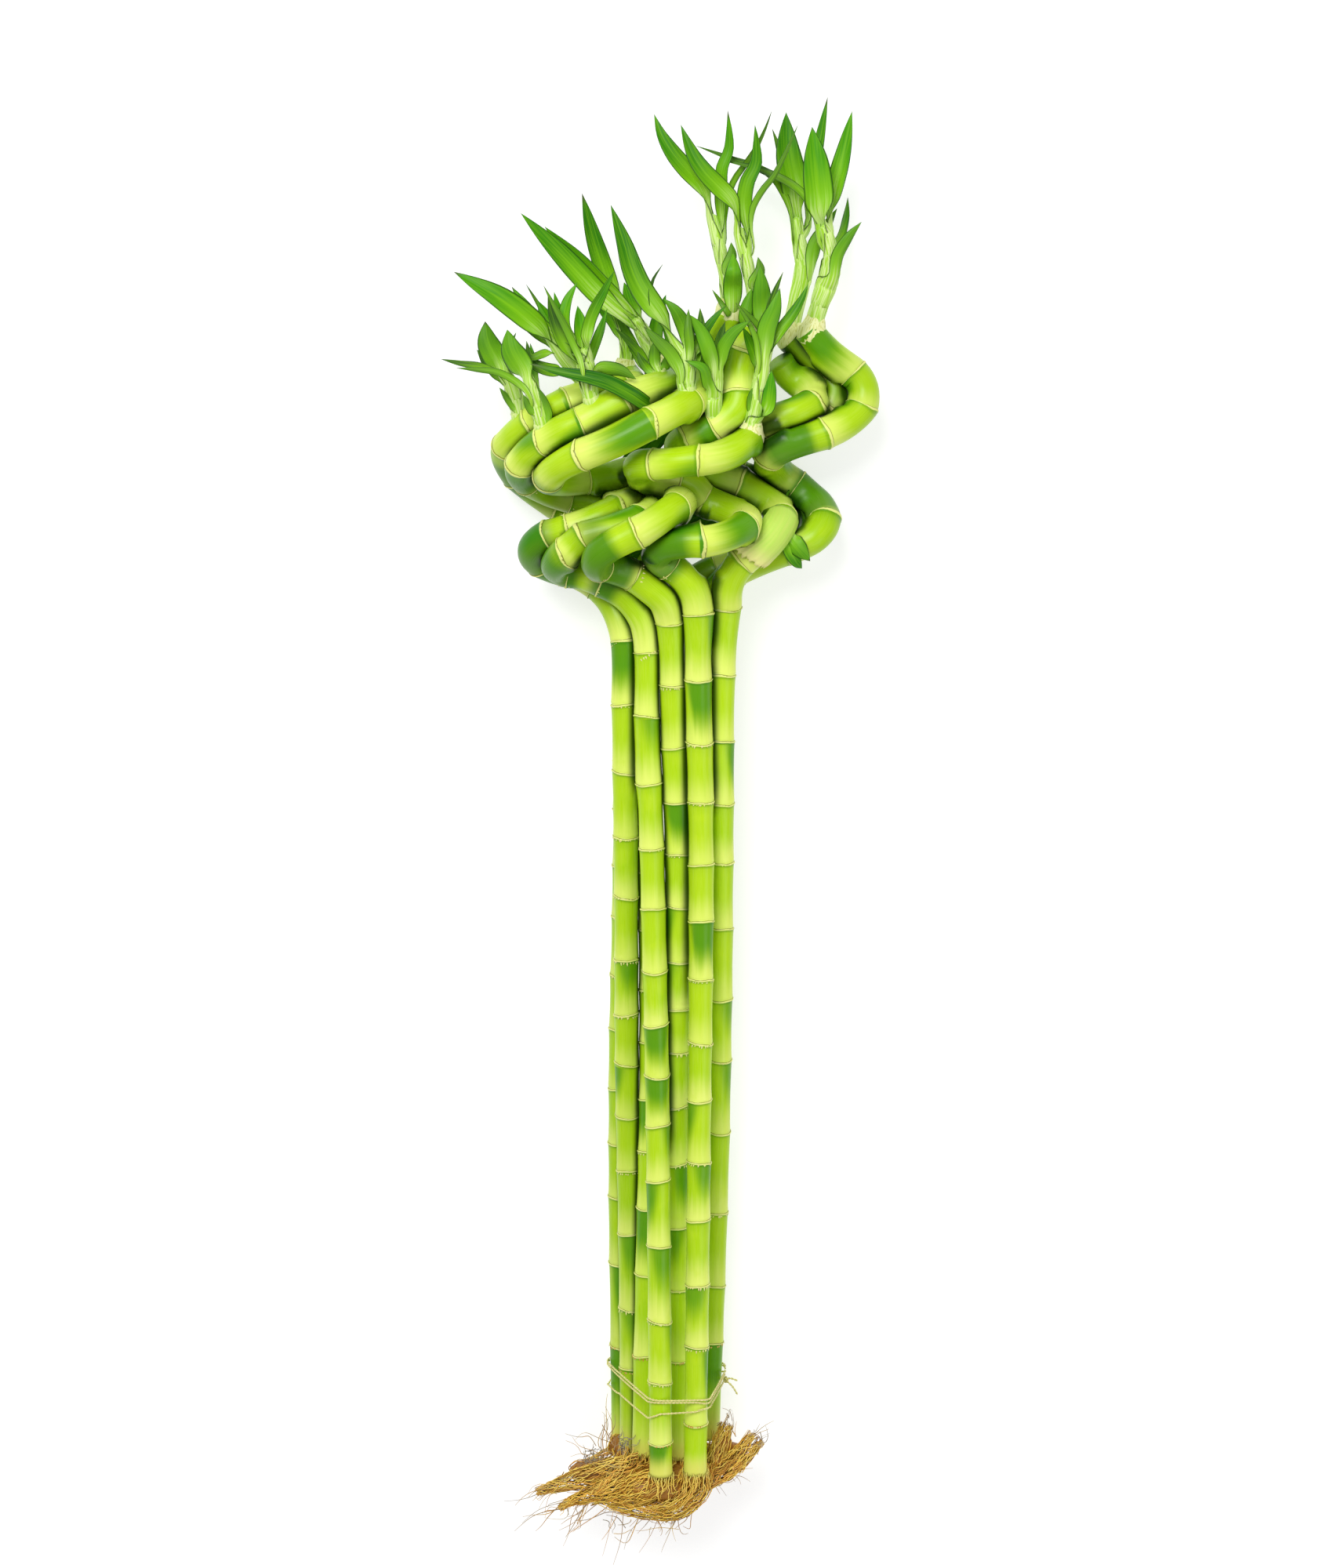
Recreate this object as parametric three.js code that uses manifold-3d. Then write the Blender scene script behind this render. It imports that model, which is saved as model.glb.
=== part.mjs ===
// A tied bundle of eight spiral lucky bamboo canes with their roots and leafy shoots, lying on its back.
// Units are millimetres. The bundle is drawn standing: x runs to its right, y away from its front
// and z up from the cut feet of the canes. The last section lays it down, front up, on a surface.
import * as THREE from "three";
import { mergeVertices } from "three/addons/utils/BufferGeometryUtils.js";
import Module from "manifold-3d";

const wasm = await Module();
wasm.setup();

// Driving dimensions
const CANE_RADIUS = 6.4;
const SPIRAL_RADIUS = 7.4; // the canes are stouter in their spirals
const SPIRAL_START = [450, 495]; // heights between which they grow stouter
const NODE_LIP = 0.4; // how far the ring at a node stands out
const NODE_HALF_LENGTH = 0.9;
const CANE_SIDES = 7;
const BEND_PER_RING = 0.5; // radians a cane may turn between two of its rings
const CANE_SAMPLE_SPACING = 3; // between the centreline points that other pieces keep clear of
const CURVE_DIVISIONS = 600; // pieces that a cane's length is measured in
const GAP = 0.3; // air kept between pieces that touch
const SPARE = 0.2; // a little more air, because facets cut inside their circles
const REST_DEPTH = 42; // from the bundle's middle plane back to the surface it lies on
const LAST_NODE_MARGIN = 6; // bare cane kept above the last node
const STALK_SIDES = 6;
const BLADE_THICKNESS = 1.2;
const BLADE_FOLD = 0.22; // rise of a blade's edges over its midrib, as a share of the half width
const BLADE_BASE_SHARE = 0.35; // width at the root, as a share of the full width
const BLADE_WIDEST = 0.4; // share of its length at which a blade is widest
const BLADE_TAPER = 1.3;
const BLADE_RING_SPACING = 10;
const BLADE_SPANS = [3, 8]; // fewest and most pieces along a blade
const STALK_SAMPLES = 24; // places along a stalk where a blade may start
const ROOT_SEED = 7;
const ROOT_RADIUS = 1.25;
const ROOT_TAPER = 0.4; // share of its radius that a root loses on the way to its tip
const ROOT_SPREAD = [5, 8, 3]; // how far from its spray's start a root may begin
const ROOT_STRAY = [0.4, 0.5, 0.35]; // how far its first direction may stray
const ROOT_CURL = [0.45, 0.45, 0.4]; // and each direction after that
const ROOT_SIDES = 5;
const ROOT_STEPS = 5;
const STRING_RADIUS = 0.7;
const STRING_SIDES = 5;
const STRING_LEVEL = 50; // height of the tie above the cut feet
const STRING_ARC_POINTS = 24; // points on a full circle round a cane
const STRING_HEIGHTS = [
  [46.5, 46, 45, 46, 45.5, 43.5], // first wrap, from the right round the back, left and front
  [43.5, 38, 30, 34.5, 40, 39],
];
const STRING_TAILS = [
  [[0, 0, 0], [4, -2, -3], [7, -2, -8]],
  [[0, 0, 0], [3, -3, 2], [7, -4, 1]],
];
const TAIL_RADII = [0.7, 0.65, 0.5];
const KNOT_HALF_SIZE = [1.6, 2.2, 1.9];
const KNOT_OFFSET = [0.4, -0.4, 0];
const SHEATH_HOST = "stem_5";
const SHEATH_WALL = 0.8;
const SHEATH_FROM = 507; // millimetres up the host cane
const SHEATH_TO = 541;
const SHEATH_TURN = 20; // degrees from the front to the middle of the sheath
const SHEATH_OPENING = 40; // degrees left bare on either side of the back
const SHEATH_FLARES = [2.2, 0.7, 0, 0]; // how far it stands off the cane, from its torn edge up
const SHEATH_TEETH = [1, 6, 2, 8, 3, 9, 2, 7, 1, 5, 0]; // depth of each tooth round the edge
const SETTLE_STEP = 4; // length of cane between two points that are moved apart
const SETTLE_PASSES = 240;
const SETTLE_SIDEWAYS = 0.6; // share of a push that acts across and along the bundle, not in depth
const SETTLE_PUSH = 0.25; // share of a missing distance that each of two canes makes up in one pass
const OWN_TURN = 45; // length of cane between two turns that may touch each other
const STALK_ROOM = 5.5; // half the depth that a stalk takes up between other shoots
const BLADE_ROOM = 1.4; // the same for a blade, without its fold
const BLADE_CANE_ROOM = 2; // between a blade's middle and the skin of a cane
const BLADE_SIDE_ROOM = 2; // between two blades that pass side by side
const CLEAR_PASSES = 60;
const CLEAR_SHARE = 0.12; // share of a missing depth that is made up in one pass
const CANE_CLEAR_SHARE = 0.5; // the same for the distance from a cane
const LEAF_COLOUR = "#6fb52c";
const ROOT_COLOUR = "#b9772b";
const STRING_COLOUR = "#d9dd9a";
const SHEATH_COLOUR = "#dfe3b0";

// Each cane's centreline, from its cut foot up through its spiral, and the lengths between its nodes.
const CANES = [
  {
    name: "stem_1",
    colour: "#9ccc1f",
    line: [
      [-23, 19, 0], [-23, 13, 198], [-25, 8, 346], [-26, 5, 428], [-26, 6, 464], [-30, 9, 478],
      [-36, 13, 488], [-48, 16, 496], [-63, 17, 500], [-73, 9, 507], [-72, -1, 514], [-62, -7, 519],
      [-47, -9, 526], [-34, -5, 532], [-24, 5, 535], [-21, 19, 535], [-28, 30, 531], [-42, 35, 527],
      [-60, 35, 532], [-78, 29, 544], [-86, 17, 556], [-85, 4, 565], [-77, -5, 576], [-64, -10, 586],
      [-48, -10, 593], [-32, -4, 597], [-22, 8, 598], [-20, 20, 599], [-28, 29, 602],
    ],
    internodes: [
      47, 36, 45, 37, 32, 30, 29, 31, 36, 33, 36, 37, 34, 34,
      34, 29, 12, 27, 27, 28, 28, 28, 28, 24, 22, 31,
    ],
  },
  {
    name: "stem_2",
    colour: "#a3d126",
    line: [
      [-6, -21, 0], [-8, -13, 210], [-11, -7, 349], [-13, -3, 429], [-13, -2, 465], [-16, -2, 476],
      [-24, -1, 487], [-35, 1, 494], [-49, 3, 499], [-58, 1, 501], [-62, -7, 507], [-58, -16, 513],
      [-46, -23, 519], [-32, -24, 525], [-18, -19, 530], [-10, -8, 532], [-10, 7, 532], [-18, 19, 531],
      [-32, 25, 532], [-50, 25, 535], [-68, 19, 542], [-80, 8, 552], [-80, -5, 559], [-72, -16, 567],
      [-59, -23, 576], [-44, -24, 583], [-29, -23, 592], [-14, -15, 597], [-5, -3, 599], [-3, 11, 601],
      [-10, 21, 604],
    ],
    internodes: [
      19, 35, 35, 43, 37, 31, 28, 28, 30, 34, 33, 35, 36, 34,
      49, 19, 30, 12, 31, 31, 31, 28, 28, 21, 22, 22, 25,
    ],
  },
  {
    name: "stem_3",
    colour: "#9bcb22",
    line: [
      [3, 3, 0], [3, 0, 206], [3, -3, 348], [0, -5, 430], [0, -7, 464], [0, -8, 476], [-3, -11, 486],
      [-10, -13, 495], [-21, -14, 501], [-32, -18, 505], [-40, -25, 510], [-38, -33, 516],
      [-27, -38, 522], [-13, -38, 529], [-3, -31, 535], [4, -18, 538], [4, -4, 538], [-4, 8, 538],
      [-17, 15, 544], [-37, 15, 549], [-53, 7, 548], [-64, -6, 550], [-64, -18, 554], [-55, -30, 561],
      [-41, -37, 568], [-26, -38, 574], [-11, -36, 582], [0, -30, 587], [9, -18, 591], [13, -5, 595],
      [14, 6, 601], [18, 11, 610], [24, 10, 620], [30, 8, 634],
    ],
    internodes: [
      59, 42, 36, 37, 33, 31, 25, 27, 30, 29, 29, 30, 33, 35,
      33, 22, 39, 29, 51, 41, 36, 30, 40, 29, 29,
    ],
  },
  {
    name: "stem_4",
    colour: "#a8d52a",
    line: [
      [13, -19, 0], [15, -15, 211], [16, -13, 350], [14, -11, 431], [12, -11, 480], [10, -13, 493],
      [4, -13, 500], [-4, -15, 505], [-8, -19, 511], [-4, -26, 517], [6, -31, 520], [19, -32, 521],
      [31, -26, 524], [39, -14, 528], [37, -2, 530], [28, 6, 533], [17, 9, 538], [5, 8, 544],
      [-8, 2, 549], [-17, -7, 555], [-16, -18, 559], [-5, -24, 560], [8, -28, 562], [22, -27, 563],
      [34, -20, 567], [40, -9, 572],
    ],
    internodes: [
      30, 44, 36, 37, 33, 35, 32, 35, 32, 31, 34, 32, 34, 35,
      32, 40, 29, 41, 21, 44, 24,
    ],
  },
  {
    name: "stem_5",
    colour: "#9fce24",
    line: [
      [21, 24, 3], [26, 11, 203], [27, 3, 347], [27, -1, 429], [29, 1, 484], [30, -1, 494],
      [35, -3, 504], [45, -4, 513], [54, -1, 521], [58, 8, 528], [52, 18, 535], [41, 23, 542],
      [28, 24, 549], [15, 19, 556], [5, 9, 562], [4, -2, 568], [11, -7, 573], [24, -8, 579],
      [34, -6, 588], [35, -2, 599], [36, 3, 611], [39, 3, 620], [43, 3, 628],
    ],
    internodes: [
      59, 35, 44, 48, 42, 35, 40, 38, 33, 34, 36, 37, 26, 37,
      31, 31, 31, 14, 23, 24,
    ],
  },
  {
    name: "stem_6",
    colour: "#8fc21c",
    line: [
      [-28, 33, -3], [-29, 28, 193], [-26, 23, 342], [-25, 20, 447], [-26, 23, 468], [-22, 28, 485],
      [-13, 33, 498], [-3, 35, 512], [4, 35, 530], [5, 35, 548], [10, 35, 563], [21, 35, 572],
      [37, 34, 573], [54, 32, 573], [70, 25, 577], [82, 20, 585], [86, 21, 594], [79, 25, 604],
      [67, 25, 615], [62, 24, 621],
    ],
    internodes: [
      59, 49, 40, 32, 32, 34, 31, 34, 29, 31, 28, 30, 33, 29,
      31, 30, 28, 32, 30, 21, 14,
    ],
  },
  {
    name: "stem_7",
    colour: "#94c71f",
    line: [
      [-16, 4, 1], [-13, 10, 208], [-12, 14, 344], [-12, 18, 447], [-8, 21, 468], [0, 24, 482],
      [14, 26, 492], [31, 26, 499], [47, 24, 507], [58, 24, 517], [62, 28, 526], [54, 34, 535],
      [41, 35, 544], [31, 35, 551], [23, 30, 557], [25, 20, 565], [33, 13, 571], [43, 8, 575],
      [53, 3, 579], [61, 1, 583], [69, 3, 586], [74, 9, 591], [71, 17, 597], [62, 18, 603],
      [57, 15, 610],
    ],
    internodes: [
      59, 47, 39, 32, 30, 32, 30, 34, 31, 28, 30, 33, 29, 31,
      28, 32, 30, 29, 31, 28, 30,
    ],
  },
  {
    name: "stem_8",
    colour: "#9ecd25",
    line: [
      [-1, 26, -7], [5, 21, 195], [10, 18, 343], [10, 15, 447], [12, 17, 468], [19, 18, 485],
      [32, 17, 498], [47, 13, 506], [61, 8, 512], [74, 6, 517], [81, 11, 525], [79, 20, 533],
      [69, 27, 541], [59, 25, 549], [53, 15, 557], [52, 3, 563], [59, -3, 568], [69, -3, 571],
      [81, -2, 574], [92, 3, 579], [100, 8, 587], [100, 11, 598], [92, 12, 607], [83, 11, 614],
      [73, 10, 621], [71, 9, 627],
    ],
    internodes: [
      53, 40, 40, 37, 37, 36, 36, 36, 36, 35, 34, 35, 30, 30,
      30, 30, 28, 36, 33, 26, 21,
    ],
  },
];

// Each shoot's stalk, as points with a radius, from its host cane up, and its blades: full width, the
// turn of its face from the front in degrees, and points from its root to its tip.
const SHOOTS = [
  {
    name: "shoot_1",
    host: "stem_1",
    stalk: [[-81, -8, 578, 4.2], [-84, -9, 591, 4.2], [-88, -10, 604, 3.6], [-91, -11, 610, 2.4]],
    leaves: [
      {
        width: 13.5,
        turn: 10,
        path: [[-89, -11, 605], [-95, -13, 616], [-99, -13, 625], [-100, -12, 634]],
      },
      { width: 5, turn: 60, path: [[-88, -8, 601], [-97, -6, 608], [-105, -4, 619]] },
      { width: 3.5, turn: 20, path: [[-82, -11, 585], [-87, -13, 592], [-93, -13, 600]] },
      {
        width: 3.2,
        turn: 40,
        path: [[-87, -13, 603], [-99, -16, 610], [-110, -17, 612], [-123, -18, 615]],
      },
      { width: 9, turn: -60, path: [[-87, -6, 599], [-89, 2, 613], [-85, 8, 627]] },
    ],
  },
  {
    name: "shoot_2",
    host: "stem_2",
    stalk: [[-67, -21, 571, 4.2], [-70, -23, 585, 4.2], [-74, -24, 598, 3.6], [-76, -25, 605, 2.4]],
    leaves: [
      { width: 14, turn: -8, path: [[-74, -25, 600], [-81, -27, 612], [-85, -27, 620], [-86, -26, 628]] },
      {
        width: 3.2,
        turn: 40,
        path: [[-71, -28, 591], [-78, -31, 599], [-88, -32, 606], [-100, -33, 608], [-112, -34, 609]],
      },
      { width: 5, turn: 15, path: [[-65, -24, 577], [-67, -26, 588], [-72, -26, 600]] },
      { width: 3.5, turn: 30, path: [[-72, -26, 585], [-75, -28, 589], [-78, -28, 595]] },
      { width: 8, turn: -50, path: [[-73, -19, 595], [-72, -14, 608], [-75, -10, 620]] },
    ],
  },
  {
    name: "shoot_3",
    host: "stem_1",
    stalk: [[-43, -9, 594, 4.2], [-48, -10, 603, 4.2], [-55, -12, 612, 3.8], [-59, -13, 617, 2.4]],
    leaves: [
      { width: 14, turn: 25, path: [[-55, -13, 612], [-72, -16, 630], [-89, -18, 643], [-113, -16, 657]] },
      { width: 12, turn: -15, path: [[-56, -10, 613], [-68, -10, 627], [-82, -10, 639], [-101, -12, 651]] },
      { width: 8, turn: 10, path: [[-59, -8, 617], [-72, -6, 632], [-84, -4, 649]] },
      { width: 11, turn: -10, path: [[-53, -6, 611], [-62, -3, 626], [-71, -1, 642]] },
      { width: 2.6, turn: 50, path: [[-58, -5, 616], [-68, 2, 635], [-77, 4, 650]] },
      { width: 5.5, turn: 30, path: [[-52, -13, 607], [-67, -14, 607], [-79, -13, 616]] },
      { width: 3.6, turn: 45, path: [[-63, -16, 617], [-73, -18, 613], [-76, -18, 622]] },
      { width: 8, turn: 0, path: [[-55, -5, 611], [-58, 4, 625], [-55, 9, 641]] },
    ],
  },
  {
    name: "shoot_4",
    host: "stem_2",
    stalk: [[-39, -23, 585, 4.4], [-42, -24, 597, 4.4], [-44, -25, 611, 4], [-45, -26, 618, 2.4]],
    leaves: [
      { width: 7, turn: 25, path: [[-44, -28, 613], [-42, -30, 633], [-36, -31, 645], [-29, -31, 658]] },
      { width: 7.5, turn: -25, path: [[-46, -26, 615], [-54, -27, 629], [-54, -26, 639], [-48, -24, 652]] },
      { width: 8, turn: 5, path: [[-45, -24, 615], [-46, -22, 627], [-48, -21, 640]] },
      { width: 7, turn: -15, path: [[-47, -23, 614], [-55, -21, 629], [-60, -20, 647]] },
      { width: 5, turn: 20, path: [[-48, -27, 612], [-58, -28, 627], [-63, -28, 645]] },
      { width: 3.2, turn: 40, path: [[-43, -30, 605], [-54, -33, 630], [-65, -33, 651]] },
      { width: 6, turn: 30, path: [[-42, -27, 606], [-32, -28, 609], [-18, -27, 603]] },
      { width: 7, turn: -40, path: [[-43, -18, 609], [-37, -12, 624], [-33, -8, 638]] },
    ],
  },
  {
    name: "shoot_5",
    host: "stem_2",
    stalk: [[-10, 20, 602, 4.4], [-14, 17, 611, 4.4], [-19, 12, 623, 4], [-23, 8, 630, 2.6]],
    leaves: [
      { width: 12.5, turn: 15, path: [[-20, 7, 626], [-38, 3, 639], [-57, 0, 659], [-82, -2, 685]] },
      { width: 11, turn: -12, path: [[-20, 9, 628], [-34, 7, 641], [-50, 6, 658], [-70, 5, 678]] },
      { width: 8, turn: 20, path: [[-21, 12, 628], [-26, 14, 639], [-29, 15, 649]] },
      { width: 4, turn: 30, path: [[-14, 14, 603], [-23, 9, 615], [-34, 7, 626]] },
      { width: 4.5, turn: -30, path: [[-16, 18, 603], [-25, 18, 618], [-35, 17, 638]] },
      { width: 8, turn: 0, path: [[-13, 22, 611], [-12, 27, 626], [-7, 28, 642]] },
    ],
  },
  {
    name: "shoot_6",
    host: "stem_1",
    stalk: [[-26, 27, 601, 3.6], [-24, 28, 612, 3.4], [-25, 26, 624, 3], [-28, 24, 634, 2.4]],
    leaves: [
      { width: 10.5, turn: 10, path: [[-26, 24, 627], [-33, 22, 649], [-41, 20, 673], [-47, 17, 697]] },
      { width: 3, turn: 50, path: [[-27, 26, 631], [-39, 28, 650], [-49, 29, 665]] },
      { width: 4, turn: 35, path: [[-25, 27, 623], [-37, 32, 647], [-43, 34, 663]] },
      { width: 7, turn: -35, path: [[-24, 31, 618], [-33, 36, 632], [-44, 37, 644]] },
    ],
  },
  {
    name: "shoot_7",
    host: "stem_3",
    stalk: [[6, -19, 590, 4.4], [5, -20, 601, 4.4], [5, -20, 612, 4.2], [4, -19, 618, 2.6]],
    leaves: [
      {
        width: 12.5,
        turn: 10,
        path: [[4, -18, 615], [-8, -14, 633], [-21, -10, 653], [-27, -8, 671], [-34, -6, 691]],
      },
      { width: 8.5, turn: -10, path: [[7, -22, 614], [3, -23, 631], [-1, -23, 638], [-7, -22, 644]] },
      { width: 6, turn: 20, path: [[4, -24, 603], [-3, -26, 616], [-9, -26, 622], [-17, -25, 630]] },
      { width: 6, turn: -20, path: [[8, -18, 609], [11, -15, 620], [16, -14, 617]] },
      { width: 2.4, turn: 60, path: [[1, -14, 620], [-13, -12, 640], [-13, -10, 651], [-7, -9, 661]] },
      { width: 4, turn: 10, path: [[7, -24, 612], [6, -26, 626], [6, -26, 639]] },
      { width: 4.5, turn: 15, path: [[8, -20, 612], [12, -18, 625], [12, -17, 639]] },
      { width: 7, turn: -40, path: [[4, -14, 608], [-2, -8, 620], [-8, -6, 632]] },
    ],
  },
  {
    name: "shoot_8",
    host: "stem_5",
    stalk: [[20, -8, 578, 4.2], [20, -12, 590, 4.2], [21, -14, 604, 3.8], [21, -15, 611, 2.6]],
    leaves: [
      { width: 9, turn: 8, path: [[21, -17, 604], [18, -22, 617], [14, -25, 628], [6, -26, 638]] },
      { width: 8, turn: -18, path: [[22, -16, 604], [24, -20, 618], [29, -22, 627], [39, -22, 634]] },
      { width: 7, turn: 30, path: [[19, -18, 596], [15, -25, 610], [11, -28, 613], [5, -28, 614]] },
      { width: 4.5, turn: 0, path: [[21, -13, 608], [23, -13, 622], [26, -13, 633]] },
      { width: 6.5, turn: -35, path: [[19, -12, 604], [13, -9, 618], [17, -7, 629], [27, -6, 641]] },
    ],
  },
  {
    name: "shoot_9",
    host: "stem_3",
    stalk: [[30, 9, 633, 4], [29, 8, 647, 3.4], [25, 7, 667, 3.2], [21, 6, 684, 2.6]],
    leaves: [
      { width: 10, turn: 8, path: [[21, 5, 682], [17, 3, 697], [4, 2, 712], [-4, 3, 723], [-9, 5, 736]] },
      {
        width: 7,
        turn: -12,
        path: [[25, 10, 672], [26, 12, 694], [26, 12, 707], [30, 12, 719], [29, 10, 738]],
      },
      {
        width: 3,
        turn: 55,
        path: [[26, 13, 671], [30, 15, 698], [39, 15, 712], [46, 15, 723], [52, 14, 738]],
      },
      { width: 10.5, turn: 6, path: [[31, 4, 634], [32, 1, 649], [32, 1, 666]] },
      { width: 5, turn: 20, path: [[27, 4, 655], [31, 3, 662], [31, 4, 671]] },
      { width: 2.6, turn: 45, path: [[31, 4, 632], [26, 1, 640], [21, 0, 647]] },
      { width: 7, turn: 70, path: [[28, 13, 649], [23, 22, 663], [20, 26, 675]] },
    ],
  },
  {
    name: "shoot_10",
    host: "stem_5",
    stalk: [[43, 3, 627, 4], [42, 2, 642, 3.4], [38, 1, 661, 3.2], [34, 0, 678, 2.6]],
    leaves: [
      {
        width: 10,
        turn: 8,
        path: [[35, -1, 676], [31, -3, 691], [17, -5, 706], [10, -4, 716], [4, -2, 731]],
      },
      {
        width: 8.5,
        turn: -12,
        path: [[38, 2, 665], [38, 0, 686], [37, -1, 698], [43, -1, 712], [42, -2, 731]],
      },
      {
        width: 3,
        turn: 55,
        path: [[39, -3, 665], [42, -6, 691], [52, -7, 705], [58, -7, 717], [64, -6, 731]],
      },
      { width: 11, turn: 6, path: [[46, -4, 628], [46, -7, 645], [45, -7, 660]] },
      { width: 7.5, turn: -10, path: [[40, -1, 627], [38, -3, 637], [41, -3, 648]] },
      { width: 2.6, turn: 45, path: [[46, -5, 626], [40, -8, 634], [34, -9, 640]] },
      { width: 5, turn: 20, path: [[40, -3, 649], [45, -3, 656], [44, -2, 664]] },
    ],
  },
  {
    name: "shoot_11",
    host: "stem_6",
    stalk: [
      [62, 24, 621, 4.6],
      [65, 24, 638, 4.6],
      [69, 23, 657, 5.2],
      [67, 22, 670, 3.2],
      [65, 21, 683, 2.8],
    ],
    leaves: [
      { width: 15, turn: 4, path: [[65, 20, 681], [64, 18, 698], [60, 18, 717], [59, 19, 738]] },
      {
        width: 3.8,
        turn: 62,
        path: [[67, 19, 670], [60, 17, 691], [52, 17, 705], [28, 19, 715], [12, 20, 721]],
      },
      { width: 7, turn: -18, path: [[69, 24, 675], [73, 26, 700], [77, 28, 723], [81, 28, 746]] },
      { width: 6, turn: 12, path: [[71, 19, 654], [74, 17, 669], [80, 17, 679], [86, 18, 689]] },
      { width: 4, turn: 10, path: [[66, 23, 679], [59, 26, 709], [52, 27, 730]] },
      { width: 4.5, turn: 25, path: [[64, 20, 663], [68, 18, 668], [71, 17, 666]] },
    ],
  },
  {
    name: "shoot_12",
    host: "stem_8",
    stalk: [[73, 10, 625, 4.8], [77, 9, 640, 4.8], [82, 8, 657, 5.2], [82, 7, 669, 3.4], [79, 6, 680, 3]],
    leaves: [
      { width: 16, turn: 4, path: [[78, 4, 677], [76, 2, 693], [74, 2, 712], [72, 3, 731]] },
      {
        width: 3.8,
        turn: 62,
        path: [[80, 5, 666], [73, 6, 689], [64, 8, 700], [43, 12, 710], [25, 14, 714]],
      },
      { width: 10, turn: -14, path: [[80, 9, 676], [84, 11, 698], [89, 12, 718], [93, 12, 739]] },
      { width: 7, turn: 14, path: [[83, 4, 651], [85, 2, 663], [90, 1, 673], [98, 1, 683]] },
      { width: 4.5, turn: 25, path: [[78, 3, 658], [80, 1, 664], [84, 0, 662]] },
      { width: 8, turn: 50, path: [[81, 12, 663], [89, 20, 679], [92, 24, 695]] },
    ],
  },
  {
    name: "shoot_13",
    host: "stem_4",
    stalk: [[42, -9, 570, 4.2], [45, -12, 588, 4], [48, -13, 603, 3.6], [49, -14, 613, 2.6]],
    leaves: [
      { width: 10.5, turn: 8, path: [[49, -15, 608], [50, -17, 625], [54, -18, 636], [57, -17, 648]] },
      { width: 6.5, turn: -20, path: [[49, -12, 610], [57, -11, 625], [66, -10, 637], [72, -9, 650]] },
      { width: 8, turn: -8, path: [[48, -13, 580], [52, -15, 593], [53, -15, 606]] },
      { width: 2.6, turn: 45, path: [[47, -17, 605], [44, -21, 625], [34, -22, 641]] },
      { width: 3.5, turn: 30, path: [[50, -12, 611], [52, -9, 638], [59, -8, 656]] },
      { width: 5, turn: -15, path: [[44, -13, 580], [43, -15, 590], [44, -15, 598]] },
      { width: 7.5, turn: 30, path: [[48, -10, 602], [43, -11, 616], [38, -13, 628]] },
    ],
  },
  {
    name: "shoot_14",
    host: "stem_2",
    stalk: [[-4, -2, 599, 3.4], [-6, -5, 604, 3.2], [-8, -6, 609, 2.4]],
    leaves: [
      { width: 5, turn: 0, path: [[-8, -7, 606], [-9, -8, 614], [-9, -8, 622]] },
      { width: 4, turn: 20, path: [[-6, -6, 605], [-3, -7, 609], [-3, -8, 615]] },
      { width: 4, turn: -20, path: [[-8, -5, 604], [-14, -5, 609], [-18, -4, 616]] },
    ],
  },
  {
    name: "shoot_15",
    host: "stem_5",
    stalk: [[57, 8, 529, 3.2], [63, 5, 525, 3], [67, 1, 521, 2.4]],
    leaves: [
      { width: 10, turn: 15, path: [[67, 0, 520], [69, -3, 515], [71, -4, 511], [74, -3, 505]] },
      { width: 6, turn: -10, path: [[65, 2, 520], [66, 3, 513], [67, 4, 507], [69, 5, 501]] },
    ],
  },
];

// Turns a closed three.js geometry into a solid that can be joined and cut.
function toSolid(geometry) {
  const bare = geometry.clone();
  bare.deleteAttribute("normal");
  bare.deleteAttribute("uv");
  const merged = mergeVertices(bare, 1e-4);
  return new wasm.Manifold(
    new wasm.Mesh({
      numProp: 3,
      vertProperties: new Float32Array(merged.attributes.position.array),
      triVerts: new Uint32Array(merged.index.array),
    }),
  );
}

function toGeometry(solid) {
  const mesh = solid.getMesh();
  const geometry = new THREE.BufferGeometry();
  geometry.setAttribute("position", new THREE.BufferAttribute(new Float32Array(mesh.vertProperties), 3));
  geometry.setIndex(new THREE.BufferAttribute(new Uint32Array(mesh.triVerts), 1));
  geometry.computeVertexNormals();
  return geometry;
}

// The biggest body of a solid, so that no loose scrap stays beside it.
function largestBody(solid) {
  return solid.decompose().reduce((best, body) => (body.volume() > best.volume() ? body : best));
}

// A seeded row of numbers from 0 to 1, the same at every build.
function seededRandom(seed) {
  let state = seed;
  return () => {
    state = (state * 1664525 + 1013904223) % 4294967296;
    return state / 4294967296;
  };
}

function centreOf(points) {
  const sum = points.reduce((total, point) => total.add(point), new THREE.Vector3());
  return sum.divideScalar(points.length);
}

// A closed skin over a row of rings, each a list of the same number of points, turning the same way.
// Neighbouring sides are split along opposite diagonals, so both faces of a blade are split alike.
function loft(rings, tip = centreOf(rings[rings.length - 1])) {
  const count = rings[0].length;
  const vertices = rings.flat();
  const indices = [];
  const start = vertices.push(centreOf(rings[0])) - 1;
  const end = vertices.push(tip) - 1;
  const lastRing = (rings.length - 1) * count;
  for (let side = 0; side < count; side++) {
    const next = (side + 1) % count;
    for (let ring = 0; ring < rings.length - 1; ring++) {
      const low = ring * count;
      const high = low + count;
      if (side % 2 === 0) {
        indices.push(low + side, low + next, high + next, low + side, high + next, high + side);
      } else {
        indices.push(low + side, low + next, high + side, low + next, high + next, high + side);
      }
    }
    indices.push(start, next, side, end, lastRing + side, lastRing + next);
  }
  const geometry = new THREE.BufferGeometry().setFromPoints(vertices);
  geometry.setIndex(indices);
  return geometry;
}

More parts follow.
